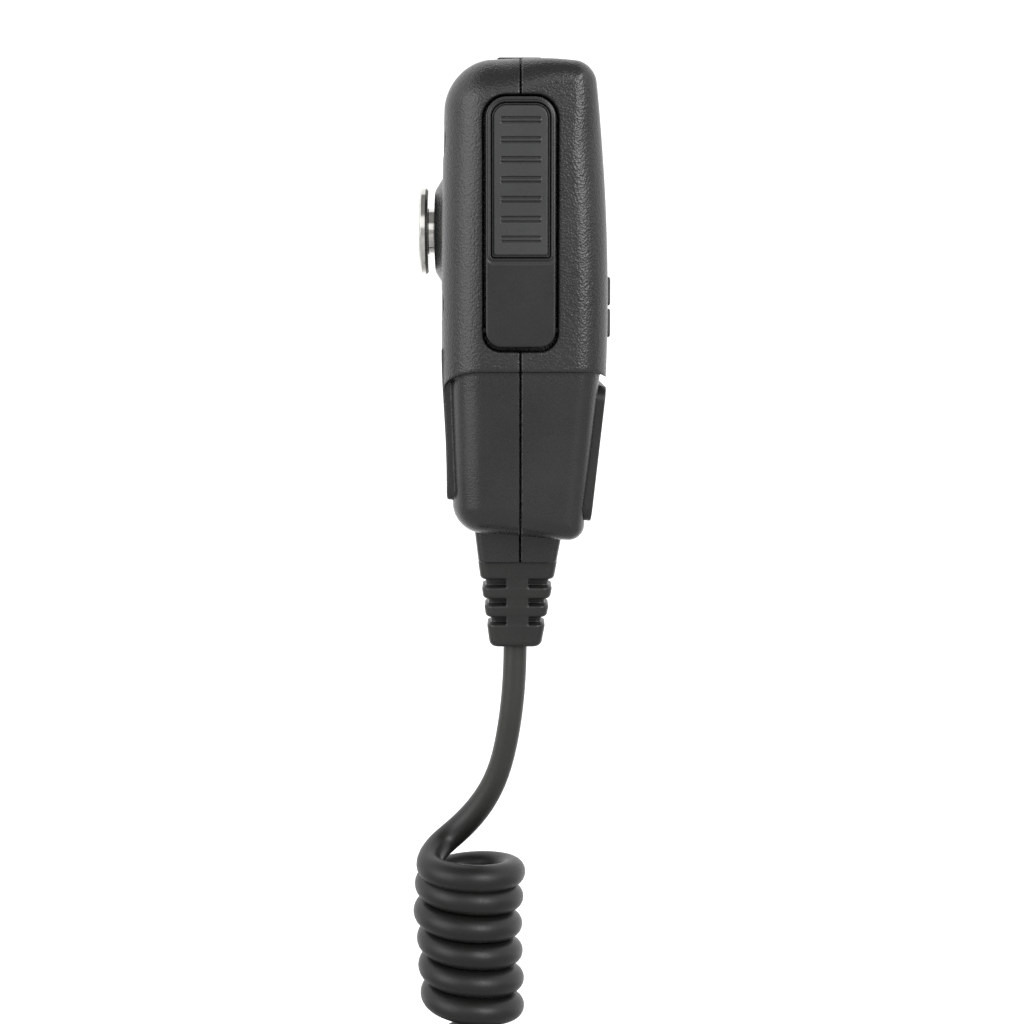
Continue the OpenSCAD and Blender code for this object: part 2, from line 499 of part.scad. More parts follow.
rear_shell();
front_shell();
keypad_bezel();
case_screws();
hang_button();
hang_button_washer();
hang_button_screw();
grille_cloth();
mic_capsule();
capsule_boot();
circuit_board();
board_screws();
dome_switches();
keypad_mat();
top_switch_board();
top_switches();
up_key();
down_key();
function_key_1();
function_key_2();
function_key_3();
function_key_4();
function_key_5();
function_key_6();
number_key_1();
number_key_2();
number_key_3();
number_key_4();
number_key_5();
number_key_6();
number_key_7();
number_key_8();
number_key_9();
star_key();
number_key_0();
hash_key();
ptt_bar();
ptt_pad();
ptt_pin();
ptt_spring();
ptt_switch();
ptt_plunger();
strain_relief();
cord_lead_in();
cord_clamp();
clamp_screws();
wire_header();
inner_wires();
cord_straight();
cord_coil();
cord_tail();
plug_boot();
plug_body();
plug_contacts();
plug_latch();
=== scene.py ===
import json
import math

import bmesh
import bpy
import numpy as np
from mathutils import Matrix, Vector


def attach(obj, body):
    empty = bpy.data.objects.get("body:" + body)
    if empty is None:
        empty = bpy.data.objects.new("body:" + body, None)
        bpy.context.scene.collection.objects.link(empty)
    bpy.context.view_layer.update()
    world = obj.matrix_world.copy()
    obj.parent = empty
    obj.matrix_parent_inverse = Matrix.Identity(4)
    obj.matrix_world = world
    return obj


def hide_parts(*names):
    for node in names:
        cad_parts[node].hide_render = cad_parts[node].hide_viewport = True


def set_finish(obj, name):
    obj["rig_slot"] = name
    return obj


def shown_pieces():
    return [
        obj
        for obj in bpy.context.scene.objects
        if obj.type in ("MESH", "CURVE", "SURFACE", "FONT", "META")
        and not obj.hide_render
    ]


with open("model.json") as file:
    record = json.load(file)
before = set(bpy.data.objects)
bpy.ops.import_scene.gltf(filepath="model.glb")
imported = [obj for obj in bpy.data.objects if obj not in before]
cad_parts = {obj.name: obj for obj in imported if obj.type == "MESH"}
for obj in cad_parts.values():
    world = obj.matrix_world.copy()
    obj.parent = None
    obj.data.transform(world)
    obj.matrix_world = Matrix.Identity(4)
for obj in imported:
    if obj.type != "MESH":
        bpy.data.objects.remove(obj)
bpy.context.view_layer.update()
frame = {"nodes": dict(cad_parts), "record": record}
NODES = frame["nodes"]
MM = 0.001
F = np.float32

# ------------------------------------------------------------------ camera
cam_data = bpy.data.cameras.new("photo_camera")
cam_data.sensor_width = 36.0
cam_data.lens = 2052.0 / 1024.0 * 36.0
cam_data.clip_start, cam_data.clip_end = 0.02, 20.0
cam = bpy.data.objects.new("photo_camera", cam_data)
bpy.context.scene.collection.objects.link(cam)
bpy.context.scene.camera = cam
cam.location = Vector((-433.66, -16.72, -13.51)) * MM
look = Vector((math.cos(math.radians(6)), 0, -math.sin(math.radians(6))))
cam.rotation_mode = "QUATERNION"
cam.rotation_quaternion = look.to_track_quat("-Z", "Y")


# ------------------------------------------------------------------ small helpers
def big_mesh(name, verts, quads, smooth=True):
    """A mesh from numpy arrays, in metres."""
    me = bpy.data.meshes.new(name)
    n, m = len(verts), len(quads)
    me.vertices.add(n)
    me.vertices.foreach_set("co", np.asarray(verts, F).ravel())
    me.loops.add(m * 4)
    me.loops.foreach_set("vertex_index", np.asarray(quads, np.int32).ravel())
    me.polygons.add(m)
    me.polygons.foreach_set("loop_start", np.arange(0, m * 4, 4, dtype=np.int32))
    me.polygons.foreach_set("loop_total", np.full(m, 4, dtype=np.int32))
    me.update(calc_edges=True)
    me.validate()
    if smooth:
        me.polygons.foreach_set("use_smooth", np.ones(len(me.polygons), bool))
    ob = bpy.data.objects.new(name, me)
    bpy.context.scene.collection.objects.link(ob)
    return ob


# distance fields, in millimetres: negative inside
def rmax(a, b, r):
    u = np.maximum(a + r, 0)
    v = np.maximum(b + r, 0)
    return np.minimum(-r, np.maximum(a, b)) + np.sqrt(u * u + v * v)


def rmin(a, b, r):
    u = np.maximum(r - a, 0)
    v = np.maximum(r - b, 0)
    return np.maximum(r, np.minimum(a, b)) - np.sqrt(u * u + v * v)


def rect2(u, v, u0, u1, v0, v1, r):
    """Rounded rectangle; r may be a number or an array."""
    cu, cv = (u0 + u1) / 2, (v0 + v1) / 2
    qu = np.abs(u - cu) - ((u1 - u0) / 2 - r)
    qv = np.abs(v - cv) - ((v1 - v0) / 2 - r)
    return (
        np.sqrt(np.maximum(qu, 0) ** 2 + np.maximum(qv, 0) ** 2)
        + np.minimum(np.maximum(qu, qv), 0)
        - r
    )


def step(t):
    t = np.clip(t, 0, 1)
    return t * t * (3 - 2 * t)


def nets(v, lo, h):
    """Surface nets: quads on the zero level of grid v. lo and h are per axis."""
    s = v < 0
    cells = [n - 1 for n in v.shape]
    tot = np.zeros(cells, np.uint8)
    corners = [(i, j, k) for i in (0, 1) for j in (0, 1) for k in (0, 1)]
    for i, j, k in corners:
        tot += s[i : i + cells[0], j : j + cells[1], k : k + cells[2]]
    act = (tot > 0) & (tot < 8)
    del tot
    idx = np.full(cells, -1, np.int32)
    co = np.argwhere(act)
    idx[act] = np.arange(len(co), dtype=np.int32)
    del act
    acc = np.zeros((len(co), 3))
    cnt = np.zeros(len(co))
    for a in corners:
        for ax in range(3):
            if a[ax]:
                continue
            b = list(a)
            b[ax] = 1
            va = v[co[:, 0] + a[0], co[:, 1] + a[1], co[:, 2] + a[2]].astype(float)
            vb = v[co[:, 0] + b[0], co[:, 1] + b[1], co[:, 2] + b[2]].astype(float)
            x = (va < 0) != (vb < 0)
            t = np.where(x, va / np.where(x, va - vb, 1), 0)
            p = np.tile(np.array(a, float), (len(co), 1))
            p[:, ax] += t
            acc += p * x[:, None]
            cnt += x
    verts = (co + acc / cnt[:, None]) * np.array(h) + np.array(lo)
    quads = []
    for ax in range(3):
        o1, o2 = (ax + 1) % 3, (ax + 2) % 3
        sl0 = [slice(None)] * 3
        sl1 = [slice(None)] * 3
        sl0[ax], sl1[ax] = slice(0, -1), slice(1, None)
        for o in (o1, o2):
            sl0[o] = sl1[o] = slice(1, -1)
        a, b = s[tuple(sl0)], s[tuple(sl1)]
        for flip, m in ((False, a & ~b), (True, ~a & b)):
            e = np.argwhere(m)
            if not len(e):
                continue
            e[:, o1] += 1
            e[:, o2] += 1
            q = []
            for d1, d2 in ((-1, -1), (0, -1), (0, 0), (-1, 0)):
                c = e.copy()
                c[:, o1] += d1
                c[:, o2] += d2
                q.append(idx[c[:, 0], c[:, 1], c[:, 2]])
            q = np.stack(q[::-1] if flip else q, 1)
            quads.append(q)
    return verts, np.concatenate(quads)


def field_mesh(name, f, lo, hi, h, place=None):
    """A mesh of the shape f(x, y, z) < 0 inside the box, h in mm per axis."""
    h = (h, h, h) if isinstance(h, (int, float)) else h
    ax = [
        (lo[i] + h[i] * np.arange(int(math.ceil((hi[i] - lo[i]) / h[i])) + 1)).astype(F)
        for i in range(3)
    ]
    X, Y, Z = ax[0][:, None, None], ax[1][None, :, None], ax[2][None, None, :]
    v = np.broadcast_to(f(X, Y, Z), (len(ax[0]), len(ax[1]), len(ax[2]))).astype(F)
    v[[0, -1]] = v[:, [0, -1]] = v[:, :, [0, -1]] = 1.0
    verts, quads = nets(v, lo, h)
    if place is not None:
        verts = place(verts)
    return big_mesh(name, verts * MM, quads)


# ------------------------------------------------------------------ cord
# the route follows part.scad's points, in millimetres
ROUTE = [
    (0, -17.4, -87.4), (0, -17.35, -91), (0.2, -17.15, -96.5), (0.8, -16.55, -103), (2, -15.4, -110),
    (3.6, -13.95, -116.6), (5.4, -10.9, -123.2), (6.5, -6.5, -128.4), (6.2, -2.9, -131.5), (4.4, 0.1, -133.2),
]
PITCH, TURNS, COIL_Y, COIL_TOP = 6.0, 24, -7.6, -134.0
COIL_BOT = COIL_TOP - TURNS * PITCH - 5.4
TAIL_Z = COIL_BOT - 46
PHI0, PHI1 = 85.0, 90 + 360 * (TURNS - 2) + 210
GAP_AT = 2070
drift_y = [-0.15, -0.17, 0.05, 0.45, 0.1, -0.13, -0.55, -0.35, 0.1, 0.3, 0.15, -0.1, -0.25, -0.05, 0.2, 0.3, 0.1, -0.15, -0.3, -0.1, 0.15, 0.2, 0.0, -0.1, 0, 0]
drift_x = [-0.4, -0.9, -0.1, -0.2, 0.1, 0.25, 0.1, -0.1, -0.25, -0.1, 0.15, 0.25, 0.05, -0.2, -0.2, 0.05, 0.2, 0.1, -0.1, -0.2, 0.0, 0.15, 0.1, 0, 0, 0]
shrink = [0.45, 0.45, 0.32, 0.23, -0.12, -0.15, -0.22, -0.3, -0.3, -0.35, -0.25, -0.3, -0.4, -0.3, -0.25, -0.35, -0.3, -0.4, -0.3, -0.25, -0.3, -0.4, -0.3, -0.3, -0.3, -0.3]

sag = [-0.2, -0.4, 0.3, 0.3, 0.2, 0.08, -0.07] + [0.0] * 19


def at(table, n):
    i = int(n)
    t = step(np.array(n - i))
    return table[i] * (1 - float(t)) + table[i + 1] * float(t)


def helix(phi):
    n = (phi - 90) / 360 + 1
    r = 8.9 + at(shrink, n)
    a = math.radians(phi)
    droop = 0.6 * math.exp(-(((phi - 90) / 110) ** 2))
    fall = PITCH * (phi - 90) / 360
    if phi > GAP_AT:  # the turns part here, then run a little closer
        fall += 8.0 * float(step(np.array((phi - GAP_AT - 20) / 100.0))) - 0.11 * (phi - GAP_AT) / 360
    return (
        r * math.cos(a) + at(drift_x, n),
        COIL_Y + at(drift_y, n) + r * math.sin(a),
        -134.0 - droop - fall + at(sag, n),
    )


he = helix(PHI1)
TAIL = [(7.2, -11.75, he[2] - 1.6), (7.4, -7.6, he[2] - 4.4), (5.5, -4.5, he[2] - 8.8), (2.4, -3.8, he[2] - 14),
        (0.2, -5, he[2] - 20), (-0.3, -6.5, he[2] - 26.5), (0, -7.5, he[2] - 33), (0, -7.6, he[2] - 40), (0, -7.6, TAIL_Z - 9)]


def catmull(p, k):
    out = []
    for i in range(len(p) - 1):
        a, b, c, d = (np.array(p[max(i - 1, 0)], float), np.array(p[i], float),
                      np.array(p[i + 1], float), np.array(p[min(i + 2, len(p) - 1)], float))
        for s in range(k):
            u = s / k
            out.append(0.5 * (2 * b + (c - a) * u + (2 * a - 5 * b + 4 * c - d) * u * u + (3 * b - a - 3 * c + d) * u ** 3))
    out.append(np.array(p[-1], float))
    return out


knots = [(0, -17.4, -84.5)] + ROUTE + [helix(p) for p in np.arange(PHI0 + 12, PHI1 + 0.1, 18.0)] + TAIL
line = catmull(knots, 3)


def relax(points, rounds, keep):
    """Evens out the curvature, holding the first points."""
    p = np.array(points)
    for _ in range(rounds):
        q = p.copy()
        q[1:-1] = 0.25 * p[:-2] + 0.5 * p[1:-1] + 0.25 * p[2:]
        q[:keep] = p[:keep]
        p = q
    return p


line = relax(line, 9, 3)
line = np.array(line)
seg = np.linalg.norm(np.diff(line, axis=0), axis=1)
run = np.concatenate([[0], np.cumsum(seg)])
n_even = int(run[-1] / 0.9)
even = np.linspace(0, run[-1], n_even)
path = np.stack([np.interp(even, run, line[:, i]) for i in range(3)], 1)


def tube(name, path, radius, sides=24, cap=True):
    """A round tube swept along path, mm; radius is a function of the point's index."""
    p = np.array(path, float)
    t = np.gradient(p, axis=0)
    t /= np.linalg.norm(t, axis=1)[:, None]
    u = np.zeros_like(p)
    ref = np.cross(t[0], [0.3, 1, 0.1])
    u[0] = ref / np.linalg.norm(ref)
    for i in range(1, len(p)):
        w = u[i - 1] - t[i] * np.dot(u[i - 1], t[i])
        u[i] = w / np.linalg.norm(w)
    w = np.cross(t, u)
    ang = np.arange(sides) * 2 * math.pi / sides
    rad = np.array([radius(i) for i in range(len(p))])
    ring = p[:, None] + rad[:, None, None] * (
        np.cos(ang)[None, :, None] * u[:, None] + np.sin(ang)[None, :, None] * w[:, None]
    )
    verts = ring.reshape(-1, 3)
    i = np.arange(len(p) - 1)[:, None]
    j = np.arange(sides)[None]
    k = (j + 1) % sides
    quads = np.stack([i * sides + j, i * sides + k, (i + 1) * sides + k, (i + 1) * sides + j], -1).reshape(-1, 4)
    ob = big_mesh(name, verts * MM, quads)
    if cap:
        bm = bmesh.new()
        bm.from_mesh(ob.data)
        bm.verts.ensure_lookup_table()
        n = len(p)
        bm.faces.new([bm.verts[q] for q in reversed(range(sides))]).smooth = True
        bm.faces.new([bm.verts[(n - 1) * sides + q] for q in range(sides)]).smooth = True
        bm.normal_update()
        bm.to_mesh(ob.data)
        bm.free()
    return ob


def cord_radius(i):
    z = path[i][2]
    grow = 0.42 * float(step(np.array((-112 - z) / 20.0)))
    end = 0.3 * float(step(np.array((COIL_BOT - 4 - z) / 14.0)))
    return 2.5 + grow - end


cord = tube("cord", path, cord_radius, 28)
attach(cord, "mic_body")
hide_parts("cord_straight", "cord_coil", "cord_tail", "cord_lead_in")
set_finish(cord, "cord_jacket")


# ------------------------------------------------------------------ casing
H = 0.25
SEAM, HALF_W, WALL = -18.4, 28.0, 2.0
PANEL_O, TILT = (0.0, -35.8, -31.6), math.radians(6.4)


def curve(x, pts):
    """A smooth curve through (x, y) points, flat beyond them."""
    px = np.array([p[0] for p in pts], float)
    py = np.array([p[1] for p in pts], float)
    d = np.diff(py) / np.diff(px)
    m = np.concatenate([[d[0]], (d[:-1] + d[1:]) / 2, [d[-1]]])
    m[1:-1][d[:-1] * d[1:] <= 0] = 0
    t = np.clip(np.asarray(x, float), px[0], px[-1])
    i = np.clip(np.searchsorted(px, t, side="right") - 1, 0, len(px) - 2)
    h = px[i + 1] - px[i]
    u = (t - px[i]) / h
    return ((2 * u**3 - 3 * u**2 + 1) * py[i] + (u**3 - 2 * u**2 + u) * h * m[i]
            + (-2 * u**3 + 3 * u**2) * py[i + 1] + (u**3 - u**2) * h * m[i + 1])


def back_of(z):
    return curve(z, [(-62, -3.6), (-54.6, -3.46), (-48, -3.42), (-42.6, -3.28), (-36, -2.95), (-30, -2.64),
                     (-24, -2.54), (-12, -2.56), (0, -2.66), (12, -2.9), (24, -3.25), (34, -3.64)]).astype(F)


def front_of(z):
    return (-35.87 + 0.0013 * (z + 15) ** 2).astype(F)


def ledge_of(y):
    """Height of the shoulder's line along the side."""
    tb = np.clip((y + 10.9) / 7.7, 0, 1)
    tf = np.clip((-31.6 - y) / 4.0, 0, 1)
    z = -28.5 - 3.6 * (1 - np.sqrt(1 - tb * tb)) - 1.7 * (1 - np.sqrt(1 - tf * tf))
    return np.where(y > -3.2, z - (y + 3.2) * 9, np.where(y < -35.6, z + (y + 35.6) * 1.0, z)).astype(F)


def radial(x, z, x0, z0):
    return np.sqrt((x - x0) ** 2 + (z - z0) ** 2)


POSTS = [(-18.4, 17.1), (18.4, 17.1), (-18.4, -15.3), (18.4, -15.3)]


def case(x, y, z):
    """The whole casing's outside, both halves and the boss."""
    ax = np.abs(x)
    yb, yf = back_of(z), front_of(z)
    a, b, c = y - yb, yf - y, z - (33.3 - 0.0045 * (y + 17.5) ** 2)
    pu = np.maximum(rmax(a, c, 9.0), rmax(b, c, 3.6))
    r = 6.5 - 1.7 * step((z - 14) / 14)
    r = r + (9.0 - r) * step((y + 27) / 14)
    w = HALF_W - 0.0016 * (y + 18.4) ** 2 - 0.00012 * (z - 2) ** 2
    q1, q2 = ax - (w - r), pu + r
    up = np.sqrt(np.maximum(q1, 0) ** 2 + np.maximum(q2, 0) ** 2) + np.minimum(np.maximum(q1, q2), 0) - r
    up = rmax(up, ledge_of(y) - z, 0.5)
    # grip
    la = y - (-4.2 - 0.4 * (-33 - z) / 20.8)
    lf = (-34.0 + 2.5 * (-32.4 - z) / 26.5) - y
    lc = (-61.6 + 0.067 * (y + 9.2)) - z
    pl = np.maximum(rmax(la, lc, 5.7), rmax(lf, lc, 3.1))
    rl = 4.6 + 2.4 * step((y + 26) / 12)
    wl = 26.45 + 0.094 * (z + 29) - 0.002 * (y + 18.4) ** 2
    q1, q2 = ax - (wl - rl), pl + rl
    lo = np.sqrt(np.maximum(q1, 0) ** 2 + np.maximum(q2, 0) ** 2) + np.minimum(np.maximum(q1, q2), 0) - rl
    lo = np.maximum(lo, z + 26)
    d = rmin(up, lo, 0.25)
    # raised panel down the back of the grip
    k = (-30 - z) / 24.6
    s = rect2(x, z, -21 + 1.3 * k, 21 - 1.3 * k, -54.7, -20, 2.0)
    s = np.maximum(rmax(s, y - yb, 0.45), -9 - y)
    s = rmax(s, z + 24, 0.2)
    d = np.minimum(d, s)
    # collar
    k = (-60 - z) / 8.9
    hx, hy, yc = 9 - 0.7 * k, 9.53 - 1.36 * k, -18.17 + 0.3 * k
    r = 1.6
    qx, qy = ax - (hx - r), np.abs(y - yc) - (hy - r)
    col = np.sqrt(np.maximum(qx, 0) ** 2 + np.maximum(qy, 0) ** 2) + np.minimum(np.maximum(qx, qy), 0) - r
    col = rmax(np.maximum(col, z + 57), -68.9 - z, 0.25)
    d = rmin(d, col, 0.9)
    # boss under the hang button
    rho = radial(x, z, 0, 0)
    boss = rmax(rho - (8.4 + (11.4 - 8.4) * (-0.7 - y) / 1.85), y + 0.7, 0.3)
    boss = np.maximum(boss, -5 - y)
    return rmin(d, boss, 0.35).astype(F)


def ptt_hole(y, z):
    return rect2(y, z, -25.78, -11.0, -24.4, 25.6, np.where(z > 0, 4.5, 3.6))


def well(x, y, z):
    """A thin wall and an inward shelf round the bar's opening."""
    p = ptt_hole(y, z)
    wall = np.maximum(np.abs(p - 0.6) - 0.45, np.abs(x + 24.3) - 2.1)
    shelf = np.maximum(np.abs(p + 0.15) - 1.2, np.abs(x + 22.5) - 0.35)
    return np.minimum(wall, shelf)


def openings(x, y, z, d):
    """Holes that both halves share."""
    hole = np.maximum(ptt_hole(y, z), x + 24)
    d = rmax(d, -hole, 0.32)
    top = np.maximum(np.minimum(rect2(x, y, -13.9, -3.3, -23.15, -13.45, 0.7), rect2(x, y, 3.3, 13.9, -23.15, -13.45, 0.7)), 20 - z)
    d = rmax(d, -top, 0.15)
    seat = rect2(x, y, -4.9, 4.9, -22.9, -11.9, 0.6)
    return np.maximum(d, -np.maximum(seat, z + 58))


def rear_half(x, y, z):
    d = case(x, y, z)
    posts = np.full_like(d, 9)
    for px, pz in POSTS:
        posts = np.minimum(posts, radial(x, z, px, pz) - 4.3)
    posts = np.minimum(posts, radial(x, z, 0, 0) - 6.5)
    hollow = np.maximum(np.maximum(d + WALL, -posts * np.where(y > -7.9, 1, -1)), -9e9)
    hollow = np.where(y > -7.9, np.maximum(d + WALL, -posts), d + WALL)
    s = np.maximum(d, -hollow)
    for px, pz in POSTS:
        s = rmax(s, -np.maximum(radial(x, z, px, pz) - 3.0, -6.6 - y), 0.2)
    s = openings(x, y, z, s)
    cut = np.minimum((SEAM + 0.17) - y, np.maximum(d + 1.1, (SEAM - 1.2) - y))
    return np.minimum(rmax(s, cut, 0.1), np.maximum(well(x, y, z), (SEAM - 1.3) - y))


def panel_local(y, z):
    """Local depth and height on the tilted front panel."""
    dy, dz = y - PANEL_O[1], z - PANEL_O[2]
    c, s = math.cos(TILT), math.sin(TILT)
    return dy * c + dz * s, -dy * s + dz * c


FX, FROWS = (-10.2, 0.0, 10.2), ((-15.35, -9.6), (-21.9, -15.9))


def front_half(x, y, z):
    d = case(x, y, z)
    s = np.maximum(d, -(d + WALL))
    # sound slots
    for i in range(-2, 3):
        hw, zc = 7.2 - 1.1 * abs(i), 19.5 + 2.5 * i
        slot = np.maximum(rect2(x, z, -hw, hw, zc - 0.55, zc + 0.55, 0.5), y + 28)
        s = rmax(s, -slot, 0.15)
    for fx in FX:
        win = np.maximum(rect2(x, z, fx - 4.75, fx + 4.75, -22.15, -9.35, 0.5), y + 31)
        s = rmax(s, -win, 0.15)
    s = openings(x, y, z, s)
    ly, lz = panel_local(y, z)
    seat = np.maximum(rect2(x, lz, -21.15, 21.15, -27.75, 0.15, 3.0), ly - 2.6)
    gap = np.maximum(np.maximum(np.abs(x) - 21.5, z + 30.7 + 0.6 * (y + 35.6)), np.maximum(-33.6 - z, y + 33.7))
    gap = np.maximum(gap, -np.maximum(np.abs(x) - 16.0, -35.5 - y))
    s = np.maximum(s, -np.minimum(seat, gap))
    s = np.maximum(s, -np.maximum(rect2(x, lz, -18.6, 18.6, -26.1, -1.2, 0.5), ly - 9))
    cut = np.maximum(y - (SEAM - 0.17), -np.maximum(d + 1.0, (SEAM - 1.5) - y))
    return np.minimum(rmax(s, cut, 0.1), np.maximum(well(x, y, z), y - (SEAM - 1.3)))


rear = field_mesh("rear_casing", rear_half, (-29.0, -20.4, -69.6), (29.0, 0.4, 34.2), H)
front = field_mesh("front_casing", front_half, (-29.0, -37.0, -69.6), (29.0, -18.0, 34.2), H)
for ob, node in ((rear, "rear_shell"), (front, "front_shell")):
    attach(ob, "mic_body")
    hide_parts(node)
    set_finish(ob, "shell_plastic")

# ------------------------------------------------------------------ push-to-talk bar
HF = 0.14
P_OUT = -30.4


def bar_plan(y, z, inset=0.0):
    r = np.where(z > 0, 4.1 - inset, 3.1 - inset)
    return rect2(y, z, -25.22 + inset, -11.66 - inset, -23.4 + inset, 25.0 - inset, r)


def pad_plan(y, z, inset=0.0):
    r = np.where(z > 8, 2.9 - inset, 0.45)
    return rect2(y, z, -24.2 + inset, -12.76 - inset, -6.0 + inset, 23.8 - inset, np.maximum(r, 0.2))


def ptt_bar(x, y, z):
    plan = bar_plan(y, z)
    # a flat rim, and a small bead along the pad's groove
    d = np.maximum(rmax(plan, P_OUT - x, 0.24), x + 26.3)
    low = np.maximum(pad_plan(y, z) - 0.95, 0.0)
    rim = np.maximum(0.0, 0.14 - 0.35 * low)
    d = np.maximum(d, (P_OUT + rim * (z > -7.5)) - x)
    bead = np.sqrt((pad_plan(y, z) - 0.36) ** 2 + (x - P_OUT - 0.18) ** 2) - 0.26
    d = rmin(d, bead, 0.06)
    barrel = np.maximum(np.sqrt((x + 25.1) ** 2 + (z + 20.2) ** 2) - 1.9, np.maximum(-24.8 - y, y + 12.3))
    rib = np.maximum(rect2(y, z, -20.9, -15.9, -2, 2, 0.4), x + 23.8)
    rib = np.maximum(rib, -27 - x)
    d = np.minimum(d, np.minimum(barrel, rib))
    d = np.maximum(d, 1.05 - np.sqrt((x + 25.1) ** 2 + (z + 20.2) ** 2))
    # groove round the pad, then the pad's seat
    seat = np.maximum(pad_plan(y, z, -0.12), x - (P_OUT + 1.0))
    d = rmax(d, -seat, 0.06)
    return np.maximum(d, -np.maximum(np.sqrt((y + 15.2) ** 2 + (z - 7.6) ** 2) - 3, x * -1 - 27.3))


def ptt_pad(x, y, z):
    # thin lip, a fine groove, then the pad's own face
    d = rmax(pad_plan(y, z, 0.1), (P_OUT + 0.1) - x, 0.07)
    groove = np.abs(pad_plan(y, z, 0.0) + 0.4) - 0.12
    d = rmax(d, -np.maximum(groove, x - (P_OUT + 0.55)), 0.05)
    field = np.maximum(pad_plan(y, z, 0.54), P_OUT - x)
    d = np.minimum(d, rmax(field, x - (P_OUT + 0.8), 0.05))
    for i in range(7):
        zc = 20.5 - 3.82 * i
        slot = rect2(y, z, -22.35, -14.6, zc - 0.62, zc + 0.62, 0.2)
        d = rmax(d, -np.maximum(slot, x - (P_OUT + 0.45)), 0.08)
        w = np.sqrt((z - zc) ** 2 + (x - (P_OUT + 0.22)) ** 2) - 0.32
        d = np.minimum(d, np.maximum(w, np.abs(y + 18.475) - 3.9))
    return np.maximum(d, x - (P_OUT + 1.0))


bar = field_mesh("ptt_bar_moulded", ptt_bar, (-31.0, -26.0, -24.0), (-23.2, -11.0, 25.6), (HF, HF * 1.1, HF * 1.1))
pad = field_mesh("ptt_pad_moulded", ptt_pad, (-30.8, -24.4, -6.3), (-29.2, -12.8, 23.9), (HF * 0.6, HF, HF * 0.72))
for ob, node in ((bar, "ptt_bar"), (pad, "ptt_pad")):
    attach(ob, "ptt_lever")
    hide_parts(node)
    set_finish(ob, "ptt_plastic")


# ------------------------------------------------------------------ keypad front
def from_panel(v):
    """Points from the panel's own frame to the row frame."""
    c, s = math.cos(TILT), math.sin(TILT)
    out = v.copy()
    out[:, 1] = PANEL_O[1] + v[:, 1] * c - v[:, 2] * s
    out[:, 2] = PANEL_O[2] + v[:, 1] * s + v[:, 2] * c
    return out


NX = (-12.0, 0.0, 12.0)


def nz(r):
    return -4.5 - 6.25 * r


def bezel(x, y, z):
    crown = 0.0 * x
    d = rmax(rect2(x, z, -21, 21, -27.6, 0, 3.0), -y + crown, 0.28)
    chamfer = (rect2(x, z, -21, 21, -27.6, 0, 3.0) + 0.35) * 0.4 + (-y + crown) * 0.92
    d = np.maximum(np.maximum(d, chamfer), y - 2.55)
    for nx in NX:
        for r in range(4):
            win = rect2(x, z, nx - 5.1, nx + 5.1, nz(r) - 2.55, nz(r) + 2.55, 0.9)
            d = rmax(d, -win, 0.15)
    return d


bez = field_mesh("keypad_front", bezel, (-21.6, -0.5, -28.2), (21.6, 3.0, 0.6), (HF * 1.5, HF, HF * 1.4), from_panel)
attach(bez, "mic_body")
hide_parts("keypad_bezel")
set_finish(bez, "grip_plastic")


def key_field(w, h, y0, y1, flange, r=0.9, dish=0.18):
    """A moulded key in its own frame: face at y0, skirt at y1."""

    def f(x, y, z):
        face = y0 + dish * np.maximum(0, 1 - (x / (w * 0.46)) ** 2) * np.maximum(0, 1 - (z / (h * 0.46)) ** 2)
        d = rmax(rect2(x, z, -w / 2, w / 2, -h / 2, h / 2, r), face - y, 0.4)
        d = np.maximum(d, y - y1)
        if flange:
            fl = rect2(x, z, -w / 2 - flange[0], w / 2 + flange[0], -h / 2 - flange[1], h / 2 + flange[1], 0.5)
            d = np.minimum(d, np.maximum(fl, np.maximum(flange[2] - y, y - flange[3])))
        return d

    return f


def one_mesh(name, w, h, y0, y1, flange, hk):
    px, pz = w / 2 + (flange[0] if flange else 0) + 0.5, h / 2 + (flange[1] if flange else 0) + 0.5
    return field_mesh(name, key_field(w, h, y0, y1, flange), (-px, y0 - 0.6, -pz), (px, max(y1, flange[3] if flange else y1) + 0.4, pz), hk)


HK = 0.15
number_key = one_mesh("number_key_mesh", 9.8, 4.7, 0.12, 3.3, (0.5, 0.5, 3.1, 3.8), HK)
function_key = one_mesh("function_key_mesh", 9.0, 5.8, 0.0, 3.6, (0.4, 0.0, 3.4, 4.2), HK)
top_key = one_mesh("top_key_mesh", 10.0, 9.2, 0.0, 4.15, (0.9, 0.45, 3.85, 4.65), HK)
KEY_NAMES = [f"number_key_{i}" for i in range(1, 10)] + ["star_key", "number_key_0", "hash_key"]


TOP_KEY = 34.35


def place_key(template, name, matrix, node, last=False):
    ob = bpy.data.objects.new(name, template.data.copy())
    bpy.context.scene.collection.objects.link(ob)
    ob.data.transform(matrix)
    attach(ob, node + "_body")
    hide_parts(node)
    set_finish(ob, "key_rubber")
    return ob


def panel_matrix(x, z, y=0.0):
    return (Matrix.Translation(Vector(PANEL_O) * MM) @ Matrix.Rotation(TILT, 4, "X")
            @ Matrix.Translation(Vector((x, y, z)) * MM))


keys = []
for i, node in enumerate(KEY_NAMES):
    c, r = i % 3, i // 3
    keys.append(place_key(number_key, node + "_cap", panel_matrix(NX[c], nz(r)), node))
for r in range(2):
    for c in range(3):
        node = f"function_key_{r * 3 + c + 1}"
        m = Matrix.Translation(Vector((FX[c], -36.7, sum(FROWS[r]) / 2)) * MM)
        keys.append(place_key(function_key, node + "_cap", m, node))
for s, node in ((-1, "up_key"), (1, "down_key")):
    m = Matrix.Translation(Vector((s * 8.6, -18.3, TOP_KEY)) * MM) @ Matrix.Rotation(math.radians(-90), 4, "X")
    keys.append(place_key(top_key, node + "_cap", m, node))
for t in (number_key, function_key, top_key):
    bpy.data.objects.remove(t)


